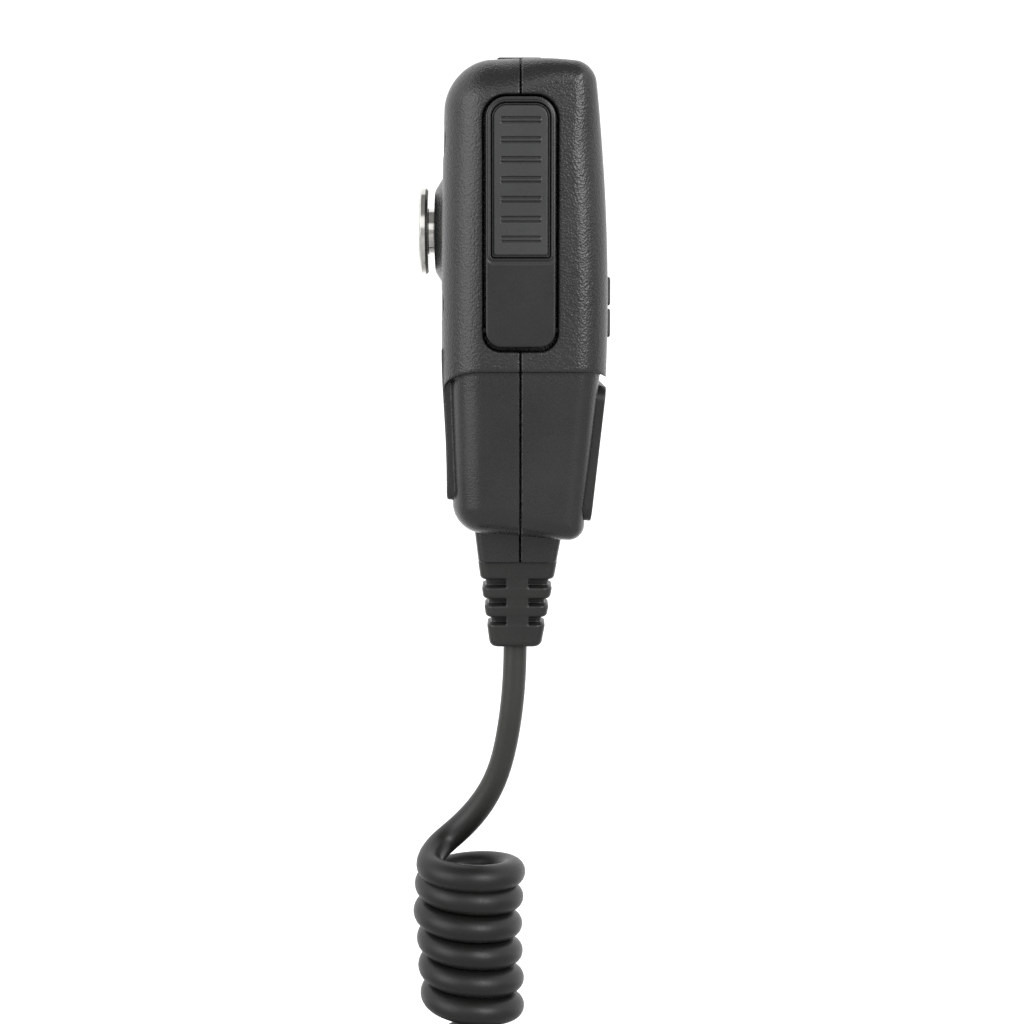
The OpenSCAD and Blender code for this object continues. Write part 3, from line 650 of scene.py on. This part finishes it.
# ------------------------------------------------------------------ strain relief
def relief(x, y, z):
    k = (-68.9 - z) / 18.6
    hy, hx, yc = 8.33 - 2.95 * k, 6.6 - 1.6 * k, -17.9 + 0.45 * k
    r = 2.0
    qx, qy = np.abs(x) - (hx - r), np.abs(y - yc) - (hy - r)
    plan = np.sqrt(np.maximum(qx, 0) ** 2 + np.maximum(qy, 0) ** 2) + np.minimum(np.maximum(qx, qy), 0) - r
    d = np.full(np.broadcast(x, y, z).shape, 9.0, F)
    for z1, z0, rt, rb in ((-68.92, -72.8, 0.2, 0.8), (-74.4, -77.0, 0.55, 0.8), (-78.3, -80.95, 0.55, 0.8), (-82.4, -87.4, 0.55, 1.25)):
        d = np.minimum(d, rmax(rmax(plan, z - z1, rt), z0 - z, rb))
    rho = np.sqrt(x**2 + (y + 17.4) ** 2)
    core = rmax(np.abs(y - yc) - (hy - 0.95), np.abs(x) - (hx - 2.9), 1.2)
    core = np.maximum(core, np.maximum(z + 69.5, -86 - z))
    spine = rmax(np.abs(y + 17.85) - 2.3, plan + 0.03, 0.25)
    spine = np.maximum(spine, np.maximum(z + 69.5, -86.3 - z))
    d = rmin(d, np.minimum(core, spine), 0.2)
    neck = np.maximum(rect2(x, y, -4.7, 4.7, -22.7, -12.1, 0.5), np.maximum(z + 60, -69.5 - z))
    d = np.minimum(d, neck)
    return rmax(d, 2.62 - rho, 0.2)


HR = 0.17
boot = field_mesh("strain_relief_moulded", relief, (-7.2, -26.6, -88.0), (7.2, -9.4, -59.6), HR)
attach(boot, "mic_body")
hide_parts("strain_relief")
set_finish(boot, "boot_rubber")


# ------------------------------------------------------------------ hang button, turned
def lathe(name, profile, sides=160, axis="y"):
    """profile: (radius, along) pairs in mm, turned about the Y axis."""
    n = len(profile)
    ang = np.arange(sides) * 2 * math.pi / sides
    verts = []
    for r, a in profile:
        for t in ang:
            verts.append((r * math.cos(t), a, r * math.sin(t)))
    quads = []
    for i in range(n - 1):
        for j in range(sides):
            k = (j + 1) % sides
            quads.append((i * sides + j, (i + 1) * sides + j, (i + 1) * sides + k, i * sides + k))
    return np.array(verts), np.array(quads)


def fillet(p0, p1, p2, r, n=6):
    """Points of an arc of radius r at the corner p1."""
    a, b, c = (np.array(p, float) for p in (p0, p1, p2))
    u, v = (a - b) / np.linalg.norm(a - b), (c - b) / np.linalg.norm(c - b)
    half = math.acos(max(-1, min(1, float(u @ v)))) / 2
    t = r / math.tan(half)
    s, e = b + u * t, b + v * t
    cen = b + (u + v) / np.linalg.norm(u + v) * r / math.sin(half)
    a0 = math.atan2(*(s - cen)[::-1])
    a1 = math.atan2(*(e - cen)[::-1])
    da = (a1 - a0 + math.pi) % (2 * math.pi) - math.pi
    return [tuple(cen + r * np.array([math.cos(a0 + da * i / n), math.sin(a0 + da * i / n)])) for i in range(n + 1)]


def rounded(points, radii):
    out = [points[0]]
    for i in range(1, len(points) - 1):
        out += fillet(points[i - 1], points[i], points[i + 1], radii[i]) if radii[i] else [points[i]]
    out.append(points[-1])
    return out


prof = [(3.1, -4.4), (3.1, -0.7), (4.8, -0.7), (4.8, 0.66), (8.55, 0.66), (9.1, 1.2), (9.1, 2.02), (8.68, 2.43), (7.4, 2.43), (7.2, 2.33), (6.2, 2.33), (6.0, 2.43), (0.02, 2.43)]
prof = rounded(prof, [0, 0, 0.08, 0.12, 0.06, 0.06, 0.06, 0.06, 0.04, 0.04, 0.04, 0.04, 0])
vts, qds = lathe("hang_button", prof, 192)
button = big_mesh("hang_button_turned", vts * MM, qds)
bm = bmesh.new()
bm.from_mesh(button.data)
bm.verts.ensure_lookup_table()
n = len(prof)
bm.faces.new([bm.verts[i] for i in range(192)])
bm.faces.new([bm.verts[(n - 1) * 192 + i] for i in reversed(range(192))])
bmesh.ops.recalc_face_normals(bm, faces=bm.faces)
bm.to_mesh(button.data)
bm.free()
button.data.polygons.foreach_set("use_smooth", [True] * len(button.data.polygons))
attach(button, "mic_body")
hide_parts("hang_button")
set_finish(button, "button_metal")

# ------------------------------------------------------------------ plug
def plug_place(v):
    return v + np.array([0.0, COIL_Y, TAIL_Z])


def plug_boot_f(x, y, z):
    rho = np.sqrt(x**2 + y**2)
    cone = rmax(rho - (3.6 + (2 - z) * 1.0 / 13), np.maximum(z - 2, -11 - z), 0.4)
    blk = rmax(rect2(x, y, -5.6, 5.6, -3.6, 3.6, 1.2), np.maximum(z + 9, -14 - z), 0.5)
    d = rmin(cone, blk, 0.8)
    for zc in (-1.2, -3.4, -5.6):
        ring = np.maximum(np.abs(z - zc) - 0.45, 3.25 - rho)
        d = rmax(d, -ring, 0.2)
    return np.maximum(d, 2.6 - rho)


def plug_body_f(x, y, z):
    d = rmax(rect2(x, y, -5.84, 5.84, -4.0, 4.0, 0.5), np.maximum(z + 14.1, -35.5 - z), 0.35)
    for i in range(8):
        xc = (i - 3.5) * 1.02
        d = np.maximum(d, -np.maximum(np.maximum(np.abs(x - xc) - 0.2, 1.4 - y), z + 29.8))
    d = np.maximum(d, -np.maximum(np.maximum(np.abs(x) - 4.3, np.abs(y) - 2.4), -22 - z))
    return np.maximum(d, -np.maximum(np.maximum(np.abs(x) - 3.3, y + 3.4), np.maximum(-16.6 - z, z + 13.6)))


HP = 0.2
pboot = field_mesh("plug_boot_moulded", plug_boot_f, (-6.0, -4.9, -14.6), (6.0, 4.9, 2.5), HP, plug_place)
pbody = field_mesh("plug_body_moulded", plug_body_f, (-6.2, -4.4, -36.0), (6.2, 4.4, -13.7), (HP * 0.6, HP, HP), plug_place)
for ob, node, sl in ((pboot, "plug_boot", "boot_rubber"), (pbody, "plug_body", "clear_plastic")):
    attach(ob, "mic_body")
    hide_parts(node)
    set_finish(ob, sl)


# ------------------------------------------------------------------ markings
def text_piece(name, body, size, matrix, key, thin=0.012):
    cu = bpy.data.curves.new(name, "FONT")
    cu.body = body
    cu.size = size * MM
    cu.align_x, cu.align_y = "CENTER", "CENTER"
    cu.extrude = thin * MM
    tmp = bpy.data.objects.new(name + "_t", cu)
    me = bpy.data.meshes.new_from_object(tmp)
    bpy.data.objects.remove(tmp)
    xs = np.array([v.co for v in me.vertices])
    mid = (xs.min(0) + xs.max(0)) / 2
    me.transform(Matrix.Translation((-mid[0], -mid[1], 0)))
    me.transform(matrix)
    ob = bpy.data.objects.new(name, me)
    bpy.context.scene.collection.objects.link(ob)
    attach(ob, key)
    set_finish(ob, "key_rubber")
    return ob


def flat_mark(name, outline, matrix, key, thin=0.012):
    me = bpy.data.meshes.new(name)
    bm = bmesh.new()
    lo = [bm.verts.new((u * MM, v * MM, -thin * MM)) for u, v in outline]
    hi = [bm.verts.new((u * MM, v * MM, thin * MM)) for u, v in outline]
    bm.faces.new(hi)
    bm.faces.new(list(reversed(lo)))
    for i in range(len(lo)):
        j = (i + 1) % len(lo)
        bm.faces.new((lo[i], lo[j], hi[j], hi[i]))
    bmesh.ops.recalc_face_normals(bm, faces=bm.faces)
    bm.to_mesh(me)
    bm.free()
    me.transform(matrix)
    ob = bpy.data.objects.new(name, me)
    bpy.context.scene.collection.objects.link(ob)
    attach(ob, key)
    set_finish(ob, "key_rubber")
    return ob


marks = []
stand = Matrix.Rotation(math.radians(90), 4, "X")  # text plane to the X-Z plane, facing -Y
GLYPH = ["1", "2", "3", "4", "5", "6", "7", "8", "9", "*", "0", "#"]
for i, node in enumerate(KEY_NAMES):
    c, r = i % 3, i // 3
    m = panel_matrix(NX[c], nz(r), 0.12 + 0.155) @ stand
    marks.append(text_piece(node + "_mark", GLYPH[i], 5.0 if GLYPH[i] == "*" else 3.1, m, node + "_body"))


def ngon(r, n, cx=0.0, cy=0.0, a0=0.0, sx=1.0):
    return [(cx + sx * r * math.cos(a0 + 2 * math.pi * i / n), cy + r * math.sin(a0 + 2 * math.pi * i / n)) for i in range(n)]


def bar_outline(w, h):
    return [(-w / 2, -h / 2), (w / 2, -h / 2), (w / 2, h / 2), (-w / 2, h / 2)]


for i in range(6):
    r, c = divmod(i, 3)
    node = f"function_key_{i + 1}"
    m = Matrix.Translation(Vector((FX[c], -36.7 + 0.155, sum(FROWS[r]) / 2)) * MM) @ stand
    shape = [ngon(0.75, 28), bar_outline(2.6, 0.6), ngon(1.05, 3, a0=math.pi / 2),
             bar_outline(1.3, 1.3), bar_outline(0.6, 2.0), ngon(1.05, 3, a0=-math.pi / 2)][i]
    marks.append(flat_mark(node + "_mark", shape, m, node + "_body"))
for s, node, a in ((-1, "up_key", math.pi / 2), (1, "down_key", -math.pi / 2)):
    m = Matrix.Translation(Vector((s * 8.6, -18.3, TOP_KEY - 0.155)) * MM)
    marks.append(flat_mark(node + "_mark", ngon(1.9, 3, a0=a, sx=1.15), m, node + "_body"))


# ------------------------------------------------------------------ materials
def material(name):
    m = bpy.data.materials.new(name)
    m.use_nodes = True
    nt = m.node_tree
    nt.nodes.clear()
    out = nt.nodes.new("ShaderNodeOutputMaterial")
    sh = nt.nodes.new("ShaderNodeBsdfPrincipled")
    nt.links.new(sh.outputs[0], out.inputs[0])
    co = nt.nodes.new("ShaderNodeTexCoord")
    return m, nt, sh, co.outputs["Object"]


def noise(nt, co, scale, detail=3.0, rough=0.55, distortion=0.0):
    n = nt.nodes.new("ShaderNodeTexNoise")
    n.inputs["Scale"].default_value = scale
    n.inputs["Detail"].default_value = detail
    n.inputs["Roughness"].default_value = rough
    n.inputs["Distortion"].default_value = distortion
    nt.links.new(co, n.inputs["Vector"])
    return n.outputs["Fac"]


def voronoi(nt, co, scale, feature="SMOOTH_F1", smooth=0.4, rand=1.0):
    n = nt.nodes.new("ShaderNodeTexVoronoi")
    n.feature = feature
    n.inputs["Scale"].default_value = scale
    n.inputs["Randomness"].default_value = rand
    if feature == "SMOOTH_F1":
        n.inputs["Smoothness"].default_value = smooth
    nt.links.new(co, n.inputs["Vector"])
    return n.outputs["Distance"]


def span(nt, fac, a, b, lo=0.3, hi=0.7):
    n = nt.nodes.new("ShaderNodeMapRange")
    n.inputs["From Min"].default_value, n.inputs["From Max"].default_value = lo, hi
    n.inputs["To Min"].default_value, n.inputs["To Max"].default_value = a, b
    nt.links.new(fac, n.inputs["Value"])
    return n.outputs["Result"]


def tint(nt, fac, dark, light):
    n = nt.nodes.new("ShaderNodeValToRGB")
    n.color_ramp.elements[0].position, n.color_ramp.elements[1].position = 0.32, 0.68
    n.color_ramp.elements[0].color = (*dark, 1)
    n.color_ramp.elements[1].color = (*light, 1)
    nt.links.new(fac, n.inputs["Fac"])
    return n.outputs["Color"]


def mathn(nt, op, a, b):
    n = nt.nodes.new("ShaderNodeMath")
    n.operation = op
    for i, v in enumerate((a, b)):
        if isinstance(v, (int, float)):
            n.inputs[i].default_value = v
        else:
            nt.links.new(v, n.inputs[i])
    return n.outputs[0]


def bump(nt, height, strength, distance, normal=None):
    n = nt.nodes.new("ShaderNodeBump")
    n.inputs["Strength"].default_value = strength
    n.inputs["Distance"].default_value = distance
    nt.links.new(height, n.inputs["Height"])
    if normal is not None:
        nt.links.new(normal, n.inputs["Normal"])
    return n.outputs["Normal"]


def moulded(name, dark, light, rough, grain=None, spark=None, spec=0.5, soft_below=None, painted_shade=None):
    """Moulded plastic or rubber: grain = (cell mm, height mm), spark = (cell mm, height mm)."""
    m, nt, sh, co = material(name)
    big = noise(nt, co, 90.0, 3)
    fine = noise(nt, co, 2600.0, 2)
    mix = mathn(nt, "ADD", mathn(nt, "MULTIPLY", big, 0.6), mathn(nt, "MULTIPLY", fine, 0.4))
    colour = tint(nt, mix, dark, light)
    # painted shade: the colour is scaled down to the given factor below the first height, back to full colour at the
    # second height
    if painted_shade is not None:
        sep = nt.nodes.new("ShaderNodeSeparateXYZ")
        nt.links.new(co, sep.inputs[0])
        mul = nt.nodes.new("ShaderNodeVectorMath")
        mul.operation = "SCALE"
        nt.links.new(colour, mul.inputs[0])
        nt.links.new(span(nt, sep.outputs[2], painted_shade[2], 1.0, painted_shade[0] * MM, painted_shade[1] * MM), mul.inputs["Scale"])
        colour = mul.outputs[0]
    nt.links.new(colour, sh.inputs["Base Color"])
    r = mathn(nt, "ADD", span(nt, fine, rough - 0.05, rough + 0.05), span(nt, big, -0.03, 0.03))
    nt.links.new(r, sh.inputs["Roughness"])
    normal = None
    if grain:
        g = mathn(nt, "ADD", mathn(nt, "MULTIPLY", voronoi(nt, co, 1000.0 / grain[0]), 0.75),
                  mathn(nt, "MULTIPLY", noise(nt, co, 600.0 / grain[0], 2, 0.6, 0.8), 0.8))
        if soft_below is not None:
            sep = nt.nodes.new("ShaderNodeSeparateXYZ")
            nt.links.new(co, sep.inputs[0])
            g = mathn(nt, "MULTIPLY", g, span(nt, sep.outputs[2], 0.35, 1.0, (soft_below - 1.5) * MM, (soft_below + 1.5) * MM))
        normal = bump(nt, g, 1.0, grain[1] * MM)
    if spark:
        normal = bump(nt, noise(nt, co, 1000.0 / spark[0], 2, 0.65), 1.0, spark[1] * MM, normal)
    if normal is not None:
        nt.links.new(normal, sh.inputs["Normal"])
    sh.inputs["Specular IOR Level"].default_value = spec
    return m


def metal(name, dark, light, rough, rings=False, scale=900.0, height=0.0012):
    m, nt, sh, co = material(name)
    n1 = noise(nt, co, scale, 3)
    nt.links.new(tint(nt, n1, dark, light), sh.inputs["Base Color"])
    sh.inputs["Metallic"].default_value = 1.0
    r = span(nt, noise(nt, co, 300.0, 4), rough - 0.03, rough + 0.04)
    nt.links.new(r, sh.inputs["Roughness"])
    if rings:
        sep = nt.nodes.new("ShaderNodeSeparateXYZ")
        nt.links.new(co, sep.inputs[0])
        rad = mathn(nt, "POWER", mathn(nt, "ADD", mathn(nt, "MULTIPLY", sep.outputs[0], sep.outputs[0]),
                                       mathn(nt, "MULTIPLY", sep.outputs[2], sep.outputs[2])), 0.5)
        comb = nt.nodes.new("ShaderNodeCombineXYZ")
        nt.links.new(mathn(nt, "MULTIPLY", rad, 5200.0), comb.inputs[0])
        nt.links.new(mathn(nt, "MULTIPLY", sep.outputs[1], 7000.0), comb.inputs[1])
        h = noise(nt, comb.outputs[0], 1.0, 3)
        nt.links.new(bump(nt, h, 1.0, height * MM), sh.inputs["Normal"])
    else:
        nt.links.new(bump(nt, noise(nt, co, 4000.0, 2), 1.0, height * MM), sh.inputs["Normal"])
    return m


M = {}
M["shell"] = moulded("shell_plastic", (0.0098, 0.0107, 0.0101), (0.0152, 0.0163, 0.0157), 0.29, grain=(0.42, 0.075), spark=(0.2, 0.014), soft_below=-31)
M["grip"] = moulded("grip_plastic", (0.0110, 0.0110, 0.0105), (0.0165, 0.0165, 0.0155), 0.36, spark=(0.3, 0.02), spec=0.42)
M["ptt"] = moulded("ptt_plastic", (0.0082, 0.0085, 0.0084), (0.0128, 0.0132, 0.013), 0.33, spark=(0.26, 0.014), spec=0.42)
M["pad"] = moulded("ptt_pad_plastic", (0.0236, 0.0247, 0.0244), (0.0316, 0.0328, 0.0324), 0.36, spark=(0.26, 0.014), spec=0.45)
M["rubber"] = moulded("boot_rubber", (0.0114, 0.0118, 0.0108), (0.0174, 0.0176, 0.0163), 0.4, spark=(0.3, 0.014), spec=0.4)
# the coil below z -134 mm gets painted shade, its colour scaled to 0.28 of the straight lead's
M["cord"] = moulded("cord_jacket", (0.0210, 0.0220, 0.0195), (0.0285, 0.0295, 0.0262), 0.42, spark=(0.5, 0.03), spec=0.36, painted_shade=(-134, -112, 0.28))
M["key"] = moulded("key_rubber", (0.028, 0.028, 0.028), (0.038, 0.038, 0.038), 0.55, spark=(0.25, 0.015))
M["mark"] = moulded("key_marking", (0.62, 0.62, 0.6), (0.74, 0.74, 0.72), 0.5, spark=(0.3, 0.004))
M["button"] = metal("button_metal", (0.58, 0.57, 0.54), (0.70, 0.69, 0.66), 0.14, rings=True)
M["black_steel"] = metal("blackened_steel", (0.02, 0.02, 0.022), (0.035, 0.035, 0.037), 0.4)
M["steel"] = metal("screw_steel", (0.42, 0.42, 0.43), (0.58, 0.58, 0.59), 0.3)
M["gold"] = metal("contact_gold", (0.75, 0.52, 0.2), (0.85, 0.63, 0.28), 0.22)
M["dome"] = metal("dome_steel", (0.55, 0.55, 0.54), (0.66, 0.66, 0.64), 0.25)
M["board"] = moulded("board_green", (0.008, 0.09, 0.035), (0.014, 0.14, 0.055), 0.35, spark=(0.6, 0.01))
M["mat"] = moulded("mat_rubber", (0.07, 0.07, 0.07), (0.1, 0.1, 0.1), 0.6, spark=(0.4, 0.01))
M["switch"] = moulded("switch_plastic", (0.03, 0.03, 0.033), (0.045, 0.045, 0.05), 0.45, spark=(0.4, 0.01))
M["nylon"] = moulded("header_plastic", (0.6, 0.57, 0.5), (0.72, 0.69, 0.6), 0.45, spark=(0.4, 0.01))
M["wires"] = moulded("wire_colours", (0.35, 0.05, 0.04), (0.5, 0.09, 0.06), 0.4, spark=(0.4, 0.01))


def cloth_material():
    m, nt, sh, co = material("grille_cloth")
    sep = nt.nodes.new("ShaderNodeSeparateXYZ")
    nt.links.new(co, sep.inputs[0])
    u = mathn(nt, "SINE", mathn(nt, "MULTIPLY", sep.outputs[0], 15000.0), 0.0)
    v = mathn(nt, "SINE", mathn(nt, "MULTIPLY", sep.outputs[2], 15000.0), 0.0)
    w = mathn(nt, "MULTIPLY", u, v)
    nt.links.new(tint(nt, mathn(nt, "ADD", mathn(nt, "MULTIPLY", w, 0.3), 0.5), (0.006, 0.006, 0.006), (0.03, 0.03, 0.03)), sh.inputs["Base Color"])
    nt.links.new(span(nt, w, 0.7, 0.9, -1, 1), sh.inputs["Roughness"])
    nt.links.new(bump(nt, w, 1.0, 0.04 * MM), sh.inputs["Normal"])
    return m


def clear_material():
    m, nt, sh, co = material("clear_plastic")
    n = noise(nt, co, 700.0, 3)
    nt.links.new(tint(nt, n, (0.86, 0.89, 0.9), (0.93, 0.95, 0.96)), sh.inputs["Base Color"])
    nt.links.new(span(nt, n, 0.06, 0.14), sh.inputs["Roughness"])
    sh.inputs["Transmission Weight"].default_value = 0.92
    sh.inputs["IOR"].default_value = 1.55
    nt.links.new(bump(nt, noise(nt, co, 900.0, 2), 1.0, 0.006 * MM), sh.inputs["Normal"])
    return m


M["cloth"], M["clear"] = cloth_material(), clear_material()


def paint(ob, m):
    ob.data.materials.clear()
    ob.data.materials.append(m)


SLOT = {"shell_plastic": "shell", "grip_plastic": "grip", "button_metal": "button", "screw_steel": "steel",
        "grille_cloth": "cloth", "boot_rubber": "rubber", "board_green": "board", "dome_steel": "dome",
        "switch_plastic": "switch", "mat_rubber": "mat", "key_rubber": "key", "ptt_plastic": "ptt",
        "plunger_plastic": "nylon", "clamp_steel": "steel", "header_plastic": "nylon", "wire_colours": "wires",
        "cord_jacket": "cord", "clear_plastic": "clear", "contact_gold": "gold"}
slot_of = {s["node"]: s["material_slot"] for s in frame["record"]["subparts"]}
for n, ob in NODES.items():
    paint(ob, M[SLOT[slot_of[n]]])
paint(NODES["ptt_pin"], M["black_steel"])
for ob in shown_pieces():
    if "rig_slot" in ob:
        paint(ob, M[SLOT[ob["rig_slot"]]])
for ob in marks:
    paint(ob, M["mark"])
paint(pad, M["pad"])

# ------------------------------------------------------------------ floor, light, air
floor_z = -0.372
bm = bmesh.new()
bmesh.ops.create_circle(bm, cap_ends=True, radius=14.0, segments=96)
me = bpy.data.meshes.new("floor")
bm.to_mesh(me)
bm.free()
floor = bpy.data.objects.new("floor", me)
floor.location = (0, 0, floor_z)
bpy.context.scene.collection.objects.link(floor)
m, nt, sh, co = material("floor_white")
nt.links.new(tint(nt, noise(nt, co, 3.0, 3), (0.46, 0.46, 0.457), (0.48, 0.48, 0.477)), sh.inputs["Base Color"])
sh.inputs["Roughness"].default_value = 0.75
sh.inputs["Specular IOR Level"].default_value = 0.1
sep = nt.nodes.new("ShaderNodeSeparateXYZ")
nt.links.new(co, sep.inputs[0])
far = span(nt, sep.outputs[0], 0.02, 0.95, 0.15, 0.5)
glow = nt.nodes.new("ShaderNodeCombineXYZ")
for i in range(3):
    nt.links.new(far, glow.inputs[i])
nt.links.new(glow.outputs[0], sh.inputs["Emission Color"])
sh.inputs["Emission Strength"].default_value = 1.0
paint(floor, m)

world = bpy.data.worlds.new("studio")
bpy.context.scene.world = world
world.use_nodes = True
nt = world.node_tree
nt.nodes.clear()
wout = nt.nodes.new("ShaderNodeOutputWorld")
bg = nt.nodes.new("ShaderNodeBackground")
nt.links.new(bg.outputs[0], wout.inputs[0])
tc = nt.nodes.new("ShaderNodeTexCoord")
sep = nt.nodes.new("ShaderNodeSeparateXYZ")
nt.links.new(tc.outputs["Generated"], sep.inputs[0])
dx, dy, dz = sep.outputs


def smooth(v, a, b, lo, hi):
    n = nt.nodes.new("ShaderNodeMapRange")
    n.interpolation_type = "SMOOTHSTEP"
    n.inputs["From Min"].default_value, n.inputs["From Max"].default_value = a, b
    n.inputs["To Min"].default_value, n.inputs["To Max"].default_value = lo, hi
    nt.links.new(v, n.inputs["Value"])
    return n.outputs["Result"]


behind = smooth(dx, -0.35, 0.35, 0.0, 1.0)
front_level = mathn(nt, "ADD", smooth(dz, -0.1, 0.03, 0.30, 0.6), smooth(dz, 0.11, 0.17, 0.0, 0.85))
level = mathn(nt, "ADD", mathn(nt, "MULTIPLY", behind, 1.3), mathn(nt, "MULTIPLY", mathn(nt, "SUBTRACT", 1.0, behind), front_level))
over = mathn(nt, "ADD", dz, mathn(nt, "MULTIPLY", dx, -0.263))
roof = smooth(over, 0.79, 0.86, 1.0, 0.2)
level = mathn(nt, "MULTIPLY", level, roof)
nt.links.new(level, bg.inputs["Strength"])
bg.inputs["Color"].default_value = (1, 1, 1, 1)


def softbox(name, at, aim, w, h, power):
    li = bpy.data.lights.new(name, "AREA")
    li.shape = "RECTANGLE"
    li.size, li.size_y = w, h
    li.energy = power
    ob = bpy.data.objects.new(name, li)
    bpy.context.scene.collection.objects.link(ob)
    ob.location = Vector(at)
    ob.rotation_mode = "QUATERNION"
    ob.rotation_quaternion = (Vector(aim) - Vector(at)).to_track_quat("-Z", "Y")
    return ob


softbox("left_box", (-0.95, 1.25, 0.2), (0, -0.01, -0.05), 1.2, 1.3, 11.5)
softbox("right_box", (-1.22, -0.84, 0.5), (0, -0.02, 0.0), 0.6, 0.9, 13)

bpy.context.scene.view_settings.view_transform = "Standard"
bpy.context.scene.view_settings.look = "None"
